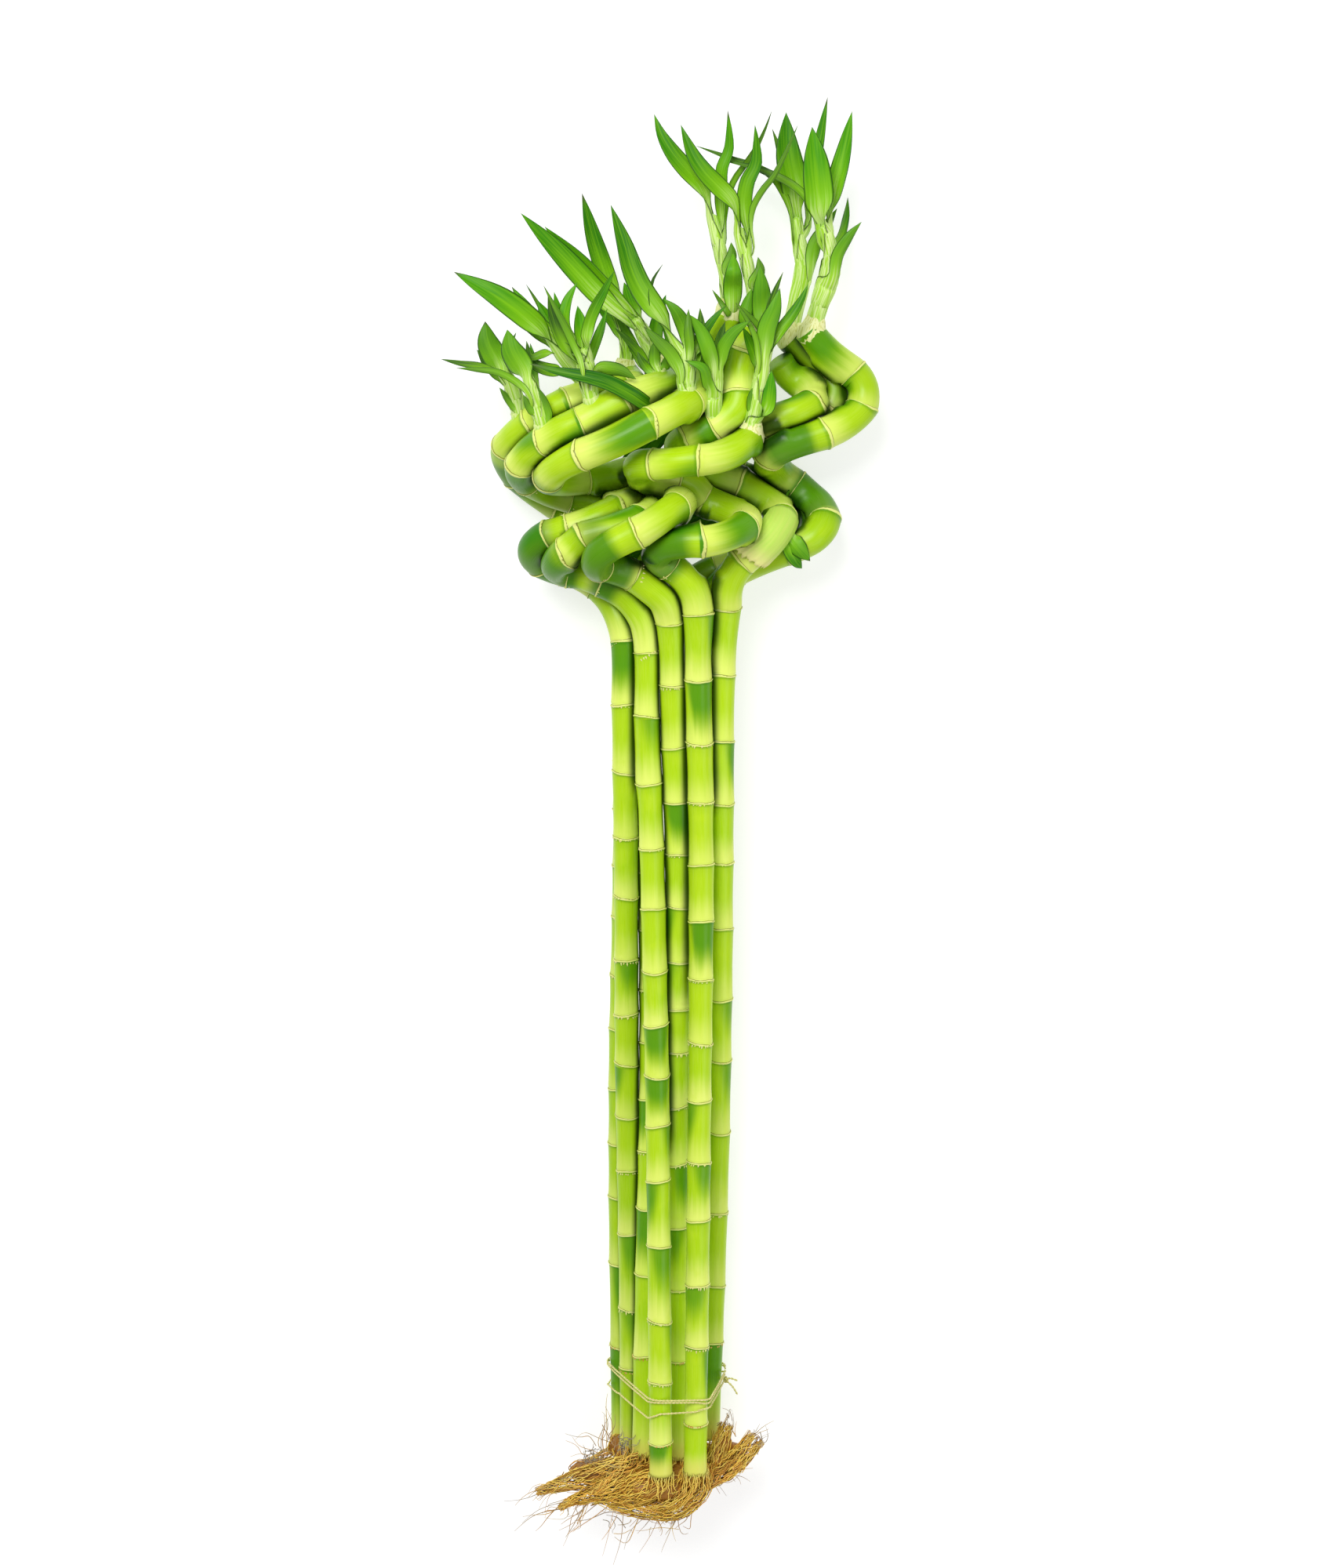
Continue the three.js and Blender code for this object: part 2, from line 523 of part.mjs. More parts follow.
// A closed tube through points, with one radius or one for each point, that doesn't twist as it bends.
function tube(points, radii, sides) {
  const tangents = points.map((point, i) => {
    const ahead = points[Math.min(i + 1, points.length - 1)];
    const behind = points[Math.max(i - 1, 0)];
    return ahead.clone().sub(behind).normalize();
  });
  let across = leastAlong(tangents[0]);
  const rings = points.map((point, i) => {
    across = across.clone().addScaledVector(tangents[i], -tangents[i].dot(across)).normalize();
    const other = new THREE.Vector3().crossVectors(tangents[i], across);
    const radius = Array.isArray(radii) ? radii[i] : radii;
    return Array.from({ length: sides }, (unused, side) => {
      const angle = (2 * Math.PI * side) / sides;
      return point
        .clone()
        .addScaledVector(across, radius * Math.cos(angle))
        .addScaledVector(other, radius * Math.sin(angle));
    });
  });
  return loft(rings);
}

// The axis that a direction leans on least, to start a tube's rings from.
function leastAlong(direction) {
  const axes = [new THREE.Vector3(1, 0, 0), new THREE.Vector3(0, 1, 0), new THREE.Vector3(0, 0, 1)];
  return axes.sort((a, b) => Math.abs(a.dot(direction)) - Math.abs(b.dot(direction)))[0];
}

function smoothCurve(points) {
  return new THREE.CatmullRomCurve3(points, false, "centripetal");
}

function caneRadius(height) {
  const share = THREE.MathUtils.smoothstep(height, SPIRAL_START[0], SPIRAL_START[1]);
  return THREE.MathUtils.lerp(CANE_RADIUS, SPIRAL_RADIUS, share);
}

function nearestOf(points, target) {
  return points.reduce((best, point) =>
    point.distanceToSquared(target) < best.distanceToSquared(target) ? point : best,
  );
}

// Moves the canes' centrelines apart until no two are nearer than their rings allow, and off the
// surface below. Canes give way mainly in depth, so that the front view of the spirals stays.
function settle(paths) {
  const clearance = 2 * NODE_LIP + GAP + SPARE;
  const ownTurn = Math.ceil(OWN_TURN / SETTLE_STEP);
  for (let pass = 0; pass < SETTLE_PASSES; pass++) {
    const moves = paths.map((path) => path.map(() => new THREE.Vector3()));
    paths.forEach((first, a) => {
      for (let b = a; b < paths.length; b++) {
        first.forEach((point, i) => {
          const second = paths[b];
          for (let j = a === b ? i + ownTurn : 0; j < second.length; j++) {
            const offset = point.clone().sub(second[j]);
            const distance = offset.length();
            const reach = caneRadius(point.z) + caneRadius(second[j].z) + clearance;
            if (distance >= reach) continue;
            const push = (SETTLE_PUSH * (reach - distance)) / Math.max(distance, 0.01);
            const step = offset.multiply(new THREE.Vector3(SETTLE_SIDEWAYS, 1, SETTLE_SIDEWAYS));
            moves[a][i].addScaledVector(step, push);
            moves[b][j].addScaledVector(step, -push);
          }
        });
      }
    });
    paths.forEach((path, a) => {
      path.forEach((point, i) => {
        const before = moves[a][Math.max(i - 1, 0)];
        const after = moves[a][Math.min(i + 1, path.length - 1)];
        point.addScaledVector(before, 0.25).addScaledVector(moves[a][i], 0.5).addScaledVector(after, 0.25);
        point.y = Math.min(point.y, REST_DEPTH - caneRadius(point.z) - NODE_LIP - SPARE / 2);
      });
    });
  }
  return paths;
}

// Where a cane has its rings: a lip and a shoulder at each node, and more where it bends between.
function caneRings(curve, internodes) {
  const length = curve.getLength();
  const tangentAt = (distance) => curve.getTangentAt(Math.min(distance / length, 1));
  const rings = [];
  const addRing = (at, lip) => {
    rings.push({ at, radius: caneRadius(curve.getPointAt(Math.min(at / length, 1)).z) + lip });
  };
  addRing(0, 0);
  let node = 0;
  const addBends = (to) => {
    const start = rings[rings.length - 1].at;
    const extra = Math.round(tangentAt(start).angleTo(tangentAt(to)) / BEND_PER_RING);
    for (let k = 1; k <= extra; k++) {
      addRing(start + ((to - start) * k) / (extra + 1), 0);
    }
  };
  for (const internode of internodes) {
    node += internode;
    if (node > length - LAST_NODE_MARGIN) break;
    addBends(node);
    addRing(node - NODE_HALF_LENGTH, NODE_LIP);
    addRing(node + NODE_HALF_LENGTH, 0);
  }
  addBends(length);
  addRing(length, 0);
  return rings;
}

// A cane's skin, or with room added all round it, the space that other pieces keep out of.
function caneSkin(cane, room) {
  const points = cane.rings.map((ring) => cane.curve.getPointAt(Math.min(ring.at / cane.length, 1)));
  const [foot, first] = points;
  const [last, end] = points.slice(-2);
  const below = foot.clone().sub(first).normalize();
  const beyond = end.clone().sub(last).normalize();
  foot.addScaledVector(below, room);
  end.addScaledVector(beyond, room);
  const radii = cane.rings.map((ring) => ring.radius + room);
  return tube(points, radii, CANE_SIDES);
}

// Share of a blade's full width at a share of its length: narrow at the sheath, long pointed tip.
function bladeProfile(along) {
  if (along < BLADE_WIDEST) {
    const rise = Math.sin((Math.PI / 2) * (along / BLADE_WIDEST));
    return THREE.MathUtils.lerp(BLADE_BASE_SHARE, 1, rise);
  }
  const fall = (along - BLADE_WIDEST) / (1 - BLADE_WIDEST);
  return Math.cos((Math.PI / 2) * fall ** BLADE_TAPER);
}

// A blade: folded along its midrib, its face turned toward the front of the bundle and then by turn
// degrees round its length.
function blade({ samples, width, turn }) {
  const tip = samples[samples.length - 1];
  const rings = samples.slice(0, -1).map((centre, i) => {
    const tangent = samples[i + 1].clone().sub(samples[Math.max(i - 1, 0)]).normalize();
    const face = new THREE.Vector3(0, -1, 0).addScaledVector(tangent, tangent.y).normalize();
    face.applyAxisAngle(tangent, THREE.MathUtils.degToRad(turn));
    const side = new THREE.Vector3().crossVectors(tangent, face);
    const half = (width / 2) * bladeProfile(i / (samples.length - 1));
    const edge = centre.clone().addScaledVector(face, half * BLADE_FOLD);
    return [
      centre.clone().addScaledVector(face, BLADE_THICKNESS / 2),
      edge.clone().addScaledVector(side, half),
      centre.clone().addScaledVector(face, -BLADE_THICKNESS / 2),
      edge.clone().addScaledVector(side, -half),
    ];
  });
  return loft(rings, tip);
}

// Sets a shoot on its host cane: moves its drawn points so that its stalk starts on the centreline,
// and samples each blade from its root inside the stalk to its tip.
function plantShoot(shoot) {
  const host = canes.find((cane) => cane.name === shoot.host);
  const foot = new THREE.Vector3(...shoot.stalk[0].slice(0, 3));
  const shift = nearestOf(host.samples, foot).clone().sub(foot);
  const stalk = shoot.stalk.map(([x, y, z]) => new THREE.Vector3(x, y, z).add(shift));
  const stalkSamples = smoothCurve(stalk).getPoints(STALK_SAMPLES);
  const blades = shoot.leaves.map(({ width, turn, path }) => {
    const points = path.map((point) => new THREE.Vector3(...point).add(shift));
    const root = nearestOf(stalkSamples, points[0]).clone();
    const curve = smoothCurve(root.distanceTo(points[0]) > 1 ? [root, ...points] : points);
    const spans = THREE.MathUtils.clamp(Math.round(curve.getLength() / BLADE_RING_SPACING), ...BLADE_SPANS);
    const samples = Array.from({ length: spans + 1 }, (unused, i) => curve.getPointAt(i / spans));
    return { width, turn, samples };
  });
  return { name: shoot.name, stalk, radii: shoot.stalk.map((point) => point[3]), blades };
}

// Bends blades off the canes, off the surface below and, in depth, off the stalks and blades of other
// shoots. A point may move unless it is part of a stalk or a blade's root.
function clearBlades(shoots) {
  const dots = shoots.flatMap((shoot, owner) => [
    ...shoot.stalk.map((at, i) => ({ owner, at, half: shoot.radii[i], thick: STALK_ROOM, free: false })),
    ...shoot.blades.flatMap(({ width, samples }) =>
      samples.map((at, i) => ({
        owner,
        at,
        half: (width / 2) * bladeProfile(i / (samples.length - 1)),
        thick: BLADE_ROOM + (width / 2) * BLADE_FOLD,
        free: i > 0,
      })),
    ),
  ]);
  for (let pass = 0; pass < CLEAR_PASSES; pass++) {
    const lifts = dots.map((dot) => dots.reduce((sum, other) => sum + depthPush(dot, other), 0));
    dots.forEach((dot, i) => {
      if (!dot.free) return;
      dot.at.y += lifts[i];
      pushOffCanes(dot.at);
    });
  }
}

// How far one dot moves in depth away from another that passes too closely in front or behind it.
function depthPush(dot, other) {
  if (dot.owner === other.owner) return 0;
  const depth = dot.at.y - other.at.y;
  const need = dot.thick + other.thick;
  const beside = Math.hypot(dot.at.x - other.at.x, dot.at.z - other.at.z);
  if (beside > dot.half + other.half + BLADE_SIDE_ROOM || Math.abs(depth) >= need) return 0;
  const side = depth === 0 ? Math.sign(dot.owner - other.owner) : Math.sign(depth);
  return CLEAR_SHARE * (need - Math.abs(depth)) * side;
}

function pushOffCanes(point) {
  for (const cane of canes) {
    const nearest = nearestOf(cane.samples, point);
    const offset = point.clone().sub(nearest);
    const distance = offset.length();
    const reach = caneRadius(nearest.z) + NODE_LIP + BLADE_CANE_ROOM;
    if (distance >= reach) continue;
    point.addScaledVector(offset, (CANE_CLEAR_SHARE * (reach - distance)) / Math.max(distance, 0.1));
  }
  point.y = Math.min(point.y, REST_DEPTH - BLADE_THICKNESS);
}

// One solid of a stalk and its blades, cut back from every cane near it.
function shootSolid(shoot) {
  const curve = smoothCurve(shoot.stalk);
  const spans = shoot.stalk.length;
  const points = Array.from({ length: spans + 1 }, (unused, i) => curve.getPoint(i / spans));
  const radii = points.map((unused, i) => {
    const place = (i / spans) * (shoot.radii.length - 1);
    const low = Math.min(Math.floor(place), shoot.radii.length - 2);
    return THREE.MathUtils.lerp(shoot.radii[low], shoot.radii[low + 1], place - low);
  });
  const whole = wasm.Manifold.union([
    toSolid(tube(points, radii, STALK_SIDES)),
    ...shoot.blades.map((strip) => toSolid(blade(strip))),
  ]);
  return largestBody(keepOffCanes(whole).subtract(sheathRoom));
}

function keepOffCanes(solid) {
  return canes.reduce((rest, cane) => rest.subtract(cane.room), solid);
}

// The lumps that the root mat grows from: centre, then half lengths along x, depth and height.
const ROOT_LUMPS = [
  { centre: [-8, 4, -13], half: [32, 28, 13] },
  { centre: [-42, 4, -11], half: [20, 14, 6] },
  { centre: [29, 7, 0], half: [12, 14, 13] },
  { centre: [-31, 25, 8], half: [8, 10, 15] },
  { centre: [-4, 30, -11], half: [27, 20, 10] },
];

// Sprays of single roots: where they start, which way they lead, how many and how long.
const ROOT_SPRAYS = [
  { from: [-46, 2, -12], lead: [-1, -0.15, -0.25], count: 6, length: 38 },
  { from: [-24, -8, -16], lead: [-0.75, -0.35, -0.6], count: 5, length: 30 },
  { from: [2, -10, -17], lead: [0.1, -0.6, -0.8], count: 5, length: 19 },
  { from: [31, 4, 4], lead: [0.75, -0.1, 0.65], count: 6, length: 24 },
  { from: [-32, 24, 12], lead: [-0.4, 0.1, 0.9], count: 4, length: 24 },
  { from: [12, 18, -14], lead: [0.8, 0.3, -0.5], count: 3, length: 20 },
];

// The roots: joined lumps with curling strands growing out of them, cut flat where the mat lies.
function rootMat() {
  const random = seededRandom(ROOT_SEED);
  const stray = (sizes) => new THREE.Vector3(...sizes.map((size) => (2 * random() - 1) * size));
  const lumps = ROOT_LUMPS.map(({ centre, half }) => {
    const lump = new THREE.IcosahedronGeometry(1, 2);
    lump.scale(...half);
    lump.translate(...centre);
    return toSolid(lump);
  });
  const strands = ROOT_SPRAYS.flatMap(({ from, lead, count, length }) =>
    Array.from({ length: count }, () => {
      const point = new THREE.Vector3(...from).add(stray(ROOT_SPREAD));
      const heading = new THREE.Vector3(...lead).add(stray(ROOT_STRAY));
      const points = [point.clone()];
      for (let step = 0; step < ROOT_STEPS; step++) {
        heading.normalize().add(stray(ROOT_CURL));
        point.addScaledVector(heading, length / ROOT_STEPS / heading.length());
        point.y = Math.min(point.y, REST_DEPTH);
        points.push(point.clone());
      }
      const radii = points.map((unused, k) => ROOT_RADIUS * (1 - (ROOT_TAPER * k) / ROOT_STEPS));
      return toSolid(tube(points, radii, ROOT_SIDES));
    }),
  );
  const whole = keepOffCanes(wasm.Manifold.union([...lumps, ...strands]));
  return largestBody(whole.trimByPlane([0, -1, 0], -REST_DEPTH));
}

// The outline of a taut string round the canes at a height, as the hull of their circles.
function stringOutline(height) {
  const reach = CANE_RADIUS + NODE_LIP + GAP + STRING_RADIUS + SPARE;
  const circlePoints = canes.flatMap((cane) => {
    const centre = cane.samples.reduce((best, point) =>
      Math.abs(point.z - height) < Math.abs(best.z - height) ? point : best,
    );
    return Array.from({ length: STRING_ARC_POINTS }, (unused, i) => {
      const angle = (2 * Math.PI * i) / STRING_ARC_POINTS;
      return new THREE.Vector2(centre.x + reach * Math.cos(angle), centre.y + reach * Math.sin(angle));
    });
  });
  circlePoints.sort((a, b) => a.x - b.x || a.y - b.y);
  const turn = (o, a, b) => (a.x - o.x) * (b.y - o.y) - (a.y - o.y) * (b.x - o.x);
  const half = (points) => {
    const chain = [];
    for (const point of points) {
      while (chain.length > 1 && turn(...chain.slice(-2), point) <= 0) chain.pop();
      chain.push(point);
    }
    return chain.slice(0, -1);
  };
  return [...half(circlePoints), ...half([...circlePoints].reverse())];
}

// The string's wraps: from its loose end at the right round the back, twice, down to the knot.
function tieString() {
  const outline = stringOutline(STRING_LEVEL);
  const first = outline.indexOf(outline.reduce((best, point) => (point.x > best.x ? point : best)));
  const around = [...outline.slice(first), ...outline.slice(0, first)];
  const points = [];
  for (const heights of STRING_HEIGHTS) {
    around.forEach((point, i) => {
      const place = (i / around.length) * (heights.length - 1);
      const low = Math.floor(place);
      const height = THREE.MathUtils.lerp(heights[low], heights[low + 1], place - low);
      points.push(new THREE.Vector3(point.x, point.y, height));
    });
  }
  const knotPlace = points[points.length - 1];
  const knot = new THREE.IcosahedronGeometry(1, 1);
  knot.scale(...KNOT_HALF_SIZE);
  knot.translate(...new THREE.Vector3(...KNOT_OFFSET).add(knotPlace));
  const tails = STRING_TAILS.map((tail) => {
    const places = tail.map((offset) => new THREE.Vector3(...offset).add(knotPlace));
    return tube(places, TAIL_RADII, STRING_SIDES);
  });
  const pieces = [tube(points, STRING_RADIUS, STRING_SIDES), knot, ...tails];
  return largestBody(keepOffCanes(wasm.Manifold.union(pieces.map(toSolid))));
}

// A closed thin skin between two like grids of points, rows by columns.
function shell(outer, inner) {
  const rows = outer.length;
  const columns = outer[0].length;
  const indices = [];
  const out = (row, column) => row * columns + column;
  const into = (row, column) => (rows + row) * columns + column;
  const quad = (a, b, c, d) => indices.push(a, b, c, a, c, d);
  for (let row = 0; row < rows - 1; row++) {
    for (let column = 0; column < columns - 1; column++) {
      quad(out(row, column), out(row, column + 1), out(row + 1, column + 1), out(row + 1, column));
      indices.push(into(row, column), into(row + 1, column + 1), into(row, column + 1));
      indices.push(into(row, column), into(row + 1, column), into(row + 1, column + 1));
    }
    quad(out(row, 0), out(row + 1, 0), into(row + 1, 0), into(row, 0));
    const edge = columns - 1;
    quad(out(row, edge), into(row, edge), into(row + 1, edge), out(row + 1, edge));
  }
  for (let column = 0; column < columns - 1; column++) {
    const top = rows - 1;
    quad(out(0, column), into(0, column), into(0, column + 1), out(0, column + 1));
    quad(out(top, column), out(top, column + 1), into(top, column + 1), into(top, column));
  }
  const geometry = new THREE.BufferGeometry().setFromPoints([...outer.flat(), ...inner.flat()]);
  geometry.setIndex(indices);
  return geometry;
}

// The dry leaf sheath that wraps one internode of its cane, torn into teeth along its lower edge.
function sheathSkin(room) {
  const host = canes.find((cane) => cane.name === SHEATH_HOST);
  const inside = SPIRAL_RADIUS + NODE_LIP + GAP;
  const skin = (extra) =>
    SHEATH_FLARES.map((flare, row) =>
      SHEATH_TEETH.map((tooth, column) => {
        const along = row / (SHEATH_FLARES.length - 1);
        const place = THREE.MathUtils.lerp(SHEATH_FROM - tooth, SHEATH_TO, along) / host.length;
        const tangent = host.curve.getTangentAt(place);
        const front = new THREE.Vector3(0, -1, 0).addScaledVector(tangent, tangent.y).normalize();
        const turn = SHEATH_OPENING + ((360 - 2 * SHEATH_OPENING) * column) / (SHEATH_TEETH.length - 1);
        front.applyAxisAngle(tangent, THREE.MathUtils.degToRad(SHEATH_TURN + turn - 180));
        return host.curve.getPointAt(place).addScaledVector(front, inside + flare + extra);
      }),
    );
  return toSolid(shell(skin(SHEATH_WALL + room), skin(-room)));
}

const canes = settle(
  CANES.map((cane) => {
    const curve = smoothCurve(cane.line.map((point) => new THREE.Vector3(...point)));
    return curve.getSpacedPoints(Math.round(curve.getLength() / SETTLE_STEP));
  }),
).map((points, i) => {
  const { name, colour, internodes } = CANES[i];
  const curve = smoothCurve(points);
  curve.arcLengthDivisions = CURVE_DIVISIONS;
  curve.updateArcLengths();
  const length = curve.getLength();
  const samples = curve.getSpacedPoints(Math.round(length / CANE_SAMPLE_SPACING));
  return { name, colour, curve, length, samples, rings: caneRings(curve, internodes) };
});
for (const cane of canes) cane.room = toSolid(caneSkin(cane, GAP));

const sheathRoom = sheathSkin(GAP);

const shoots = SHOOTS.map(plantShoot);
clearBlades(shoots);

const bundle = new THREE.Group();

function addPiece(name, solid, colour, roughness) {
  const material = new THREE.MeshStandardMaterial({ color: colour, roughness, metalness: 0 });
  const mesh = new THREE.Mesh(toGeometry(solid), material);
  mesh.name = name;
  bundle.add(mesh);
}

for (const cane of canes) addPiece(cane.name, toSolid(caneSkin(cane, 0)), cane.colour, 0.35);
for (const shoot of shoots) addPiece(shoot.name, shootSolid(shoot), LEAF_COLOUR, 0.45);
addPiece("root_mat", rootMat(), ROOT_COLOUR, 0.85);
addPiece("tie_string", tieString(), STRING_COLOUR, 0.8);
addPiece("dry_sheath", largestBody(keepOffCanes(sheathSkin(0))), SHEATH_COLOUR, 0.7);

// Laid on its back: the front looks up, the canes run along +Y, and the lowest points are at height 0.
bundle.rotation.x = -Math.PI / 2;
const part = new THREE.Group();
part.add(bundle);
part.updateMatrixWorld(true);
const box = new THREE.Box3().setFromObject(part, true);
bundle.position.set(-(box.min.x + box.max.x) / 2, -(box.min.y + box.max.y) / 2, -box.min.z);
part.updateMatrixWorld(true);

export default part;
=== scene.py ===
"""A tied bundle of spiral lucky bamboo canes lying on its back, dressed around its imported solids."""

import functools
import math

import bmesh
import bpy
import numpy as np
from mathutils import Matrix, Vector
from mathutils.bvhtree import BVHTree


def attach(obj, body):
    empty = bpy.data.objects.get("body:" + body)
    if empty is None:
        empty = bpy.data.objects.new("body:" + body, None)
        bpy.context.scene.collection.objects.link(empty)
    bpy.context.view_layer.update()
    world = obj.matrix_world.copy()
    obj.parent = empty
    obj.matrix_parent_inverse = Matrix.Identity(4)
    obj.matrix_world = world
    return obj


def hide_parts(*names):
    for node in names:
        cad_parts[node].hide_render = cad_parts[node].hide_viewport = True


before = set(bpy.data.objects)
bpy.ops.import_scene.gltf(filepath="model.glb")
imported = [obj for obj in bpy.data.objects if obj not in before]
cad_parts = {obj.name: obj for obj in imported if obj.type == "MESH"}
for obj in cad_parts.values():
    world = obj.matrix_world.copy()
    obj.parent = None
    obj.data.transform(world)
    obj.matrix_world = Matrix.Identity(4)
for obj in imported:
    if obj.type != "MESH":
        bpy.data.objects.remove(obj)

bl_info = {
    "name": "Lucky Bamboo Bundle",
    "version": (1, 0, 0),
    "blender": (4, 5, 0),
    "location": "View3D > Sidebar > Lucky Bamboo",
    "description": "Builds a tied bundle of spiral lucky bamboo canes with leaves and roots",
    "category": "Add Mesh",
}

# The bundle is described standing, in millimetres: x to its right, y away from its front and z up
# from its feet, as in the part's source. SHIFT and REST_DEPTH lay it down in the shared frame.
SHIFT = (5.748, -352.130)
REST_DEPTH = 42.0
# Points in each span of a curve, and the turns that random ones are drawn from.
CURVE_STEPS = 16
ANY_TURN = (0, 6.28)
# Canes: sizes from the part's source, and how exactly a packed cane's cap and centreline are found.
CANE_NAMES = [f"stem_{number}" for number in range(1, 9)]
CANE_SIDES = 7
CAP_SLACK = 0.05
SAMPLE_SPACING = 3.0
CANE_RADIUS = 6.4
SPIRAL_RADIUS = 7.4
SPIRAL_START = (450.0, 495.0)
NODE_LIP = 0.4
NODE_HALF_LENGTH = 0.9
GAP = 0.3
# Stalks and blades: their shape and the room they keep, in millimetres, as in the part's source.
STALK_ROOM = 5.5
BLADE_ROOM = 1.4
BLADE_CANE_ROOM = 2.0
BLADE_THICKNESS = 1.2
BLADE_FOLD = 0.22
BLADE_BASE_SHARE = 0.35
BLADE_WIDEST = 0.4
BLADE_TAPER = 1.3
BLADE_STEPS = 24
BLADE_SPANS = (3, 8)
BLADE_RING_SPACING = 10.0
BLADE_MARGIN = 2.0
OFF_STALK = 1.0
CLEAR_PASSES = 60
CLEAR_SHARE = 0.12
# String: where the canes' outline is taken, its heights round each turn, and its two loose ends.
STRING_RADIUS = 0.7
STRING_LEVEL = 50.0
STRING_HEIGHTS = ((46.5, 46, 45, 46, 45.5, 43.5), (43.5, 38, 30, 34.5, 40, 39))
STRING_TAILS = (((0, 0, 0), (4, -2, -3), (7, -2, -8)), ((0, 0, 0), (3, -3, 2), (7, -4, 1)))
# Torn sheath: its cane, from where to where along it, and its turn and half opening in degrees.
SHEATH_HOST = "stem_5"
SHEATH_FROM = 507.0
SHEATH_TO = 541.0
SHEATH_TURN = 20.0
SHEATH_OPENING = 14.0

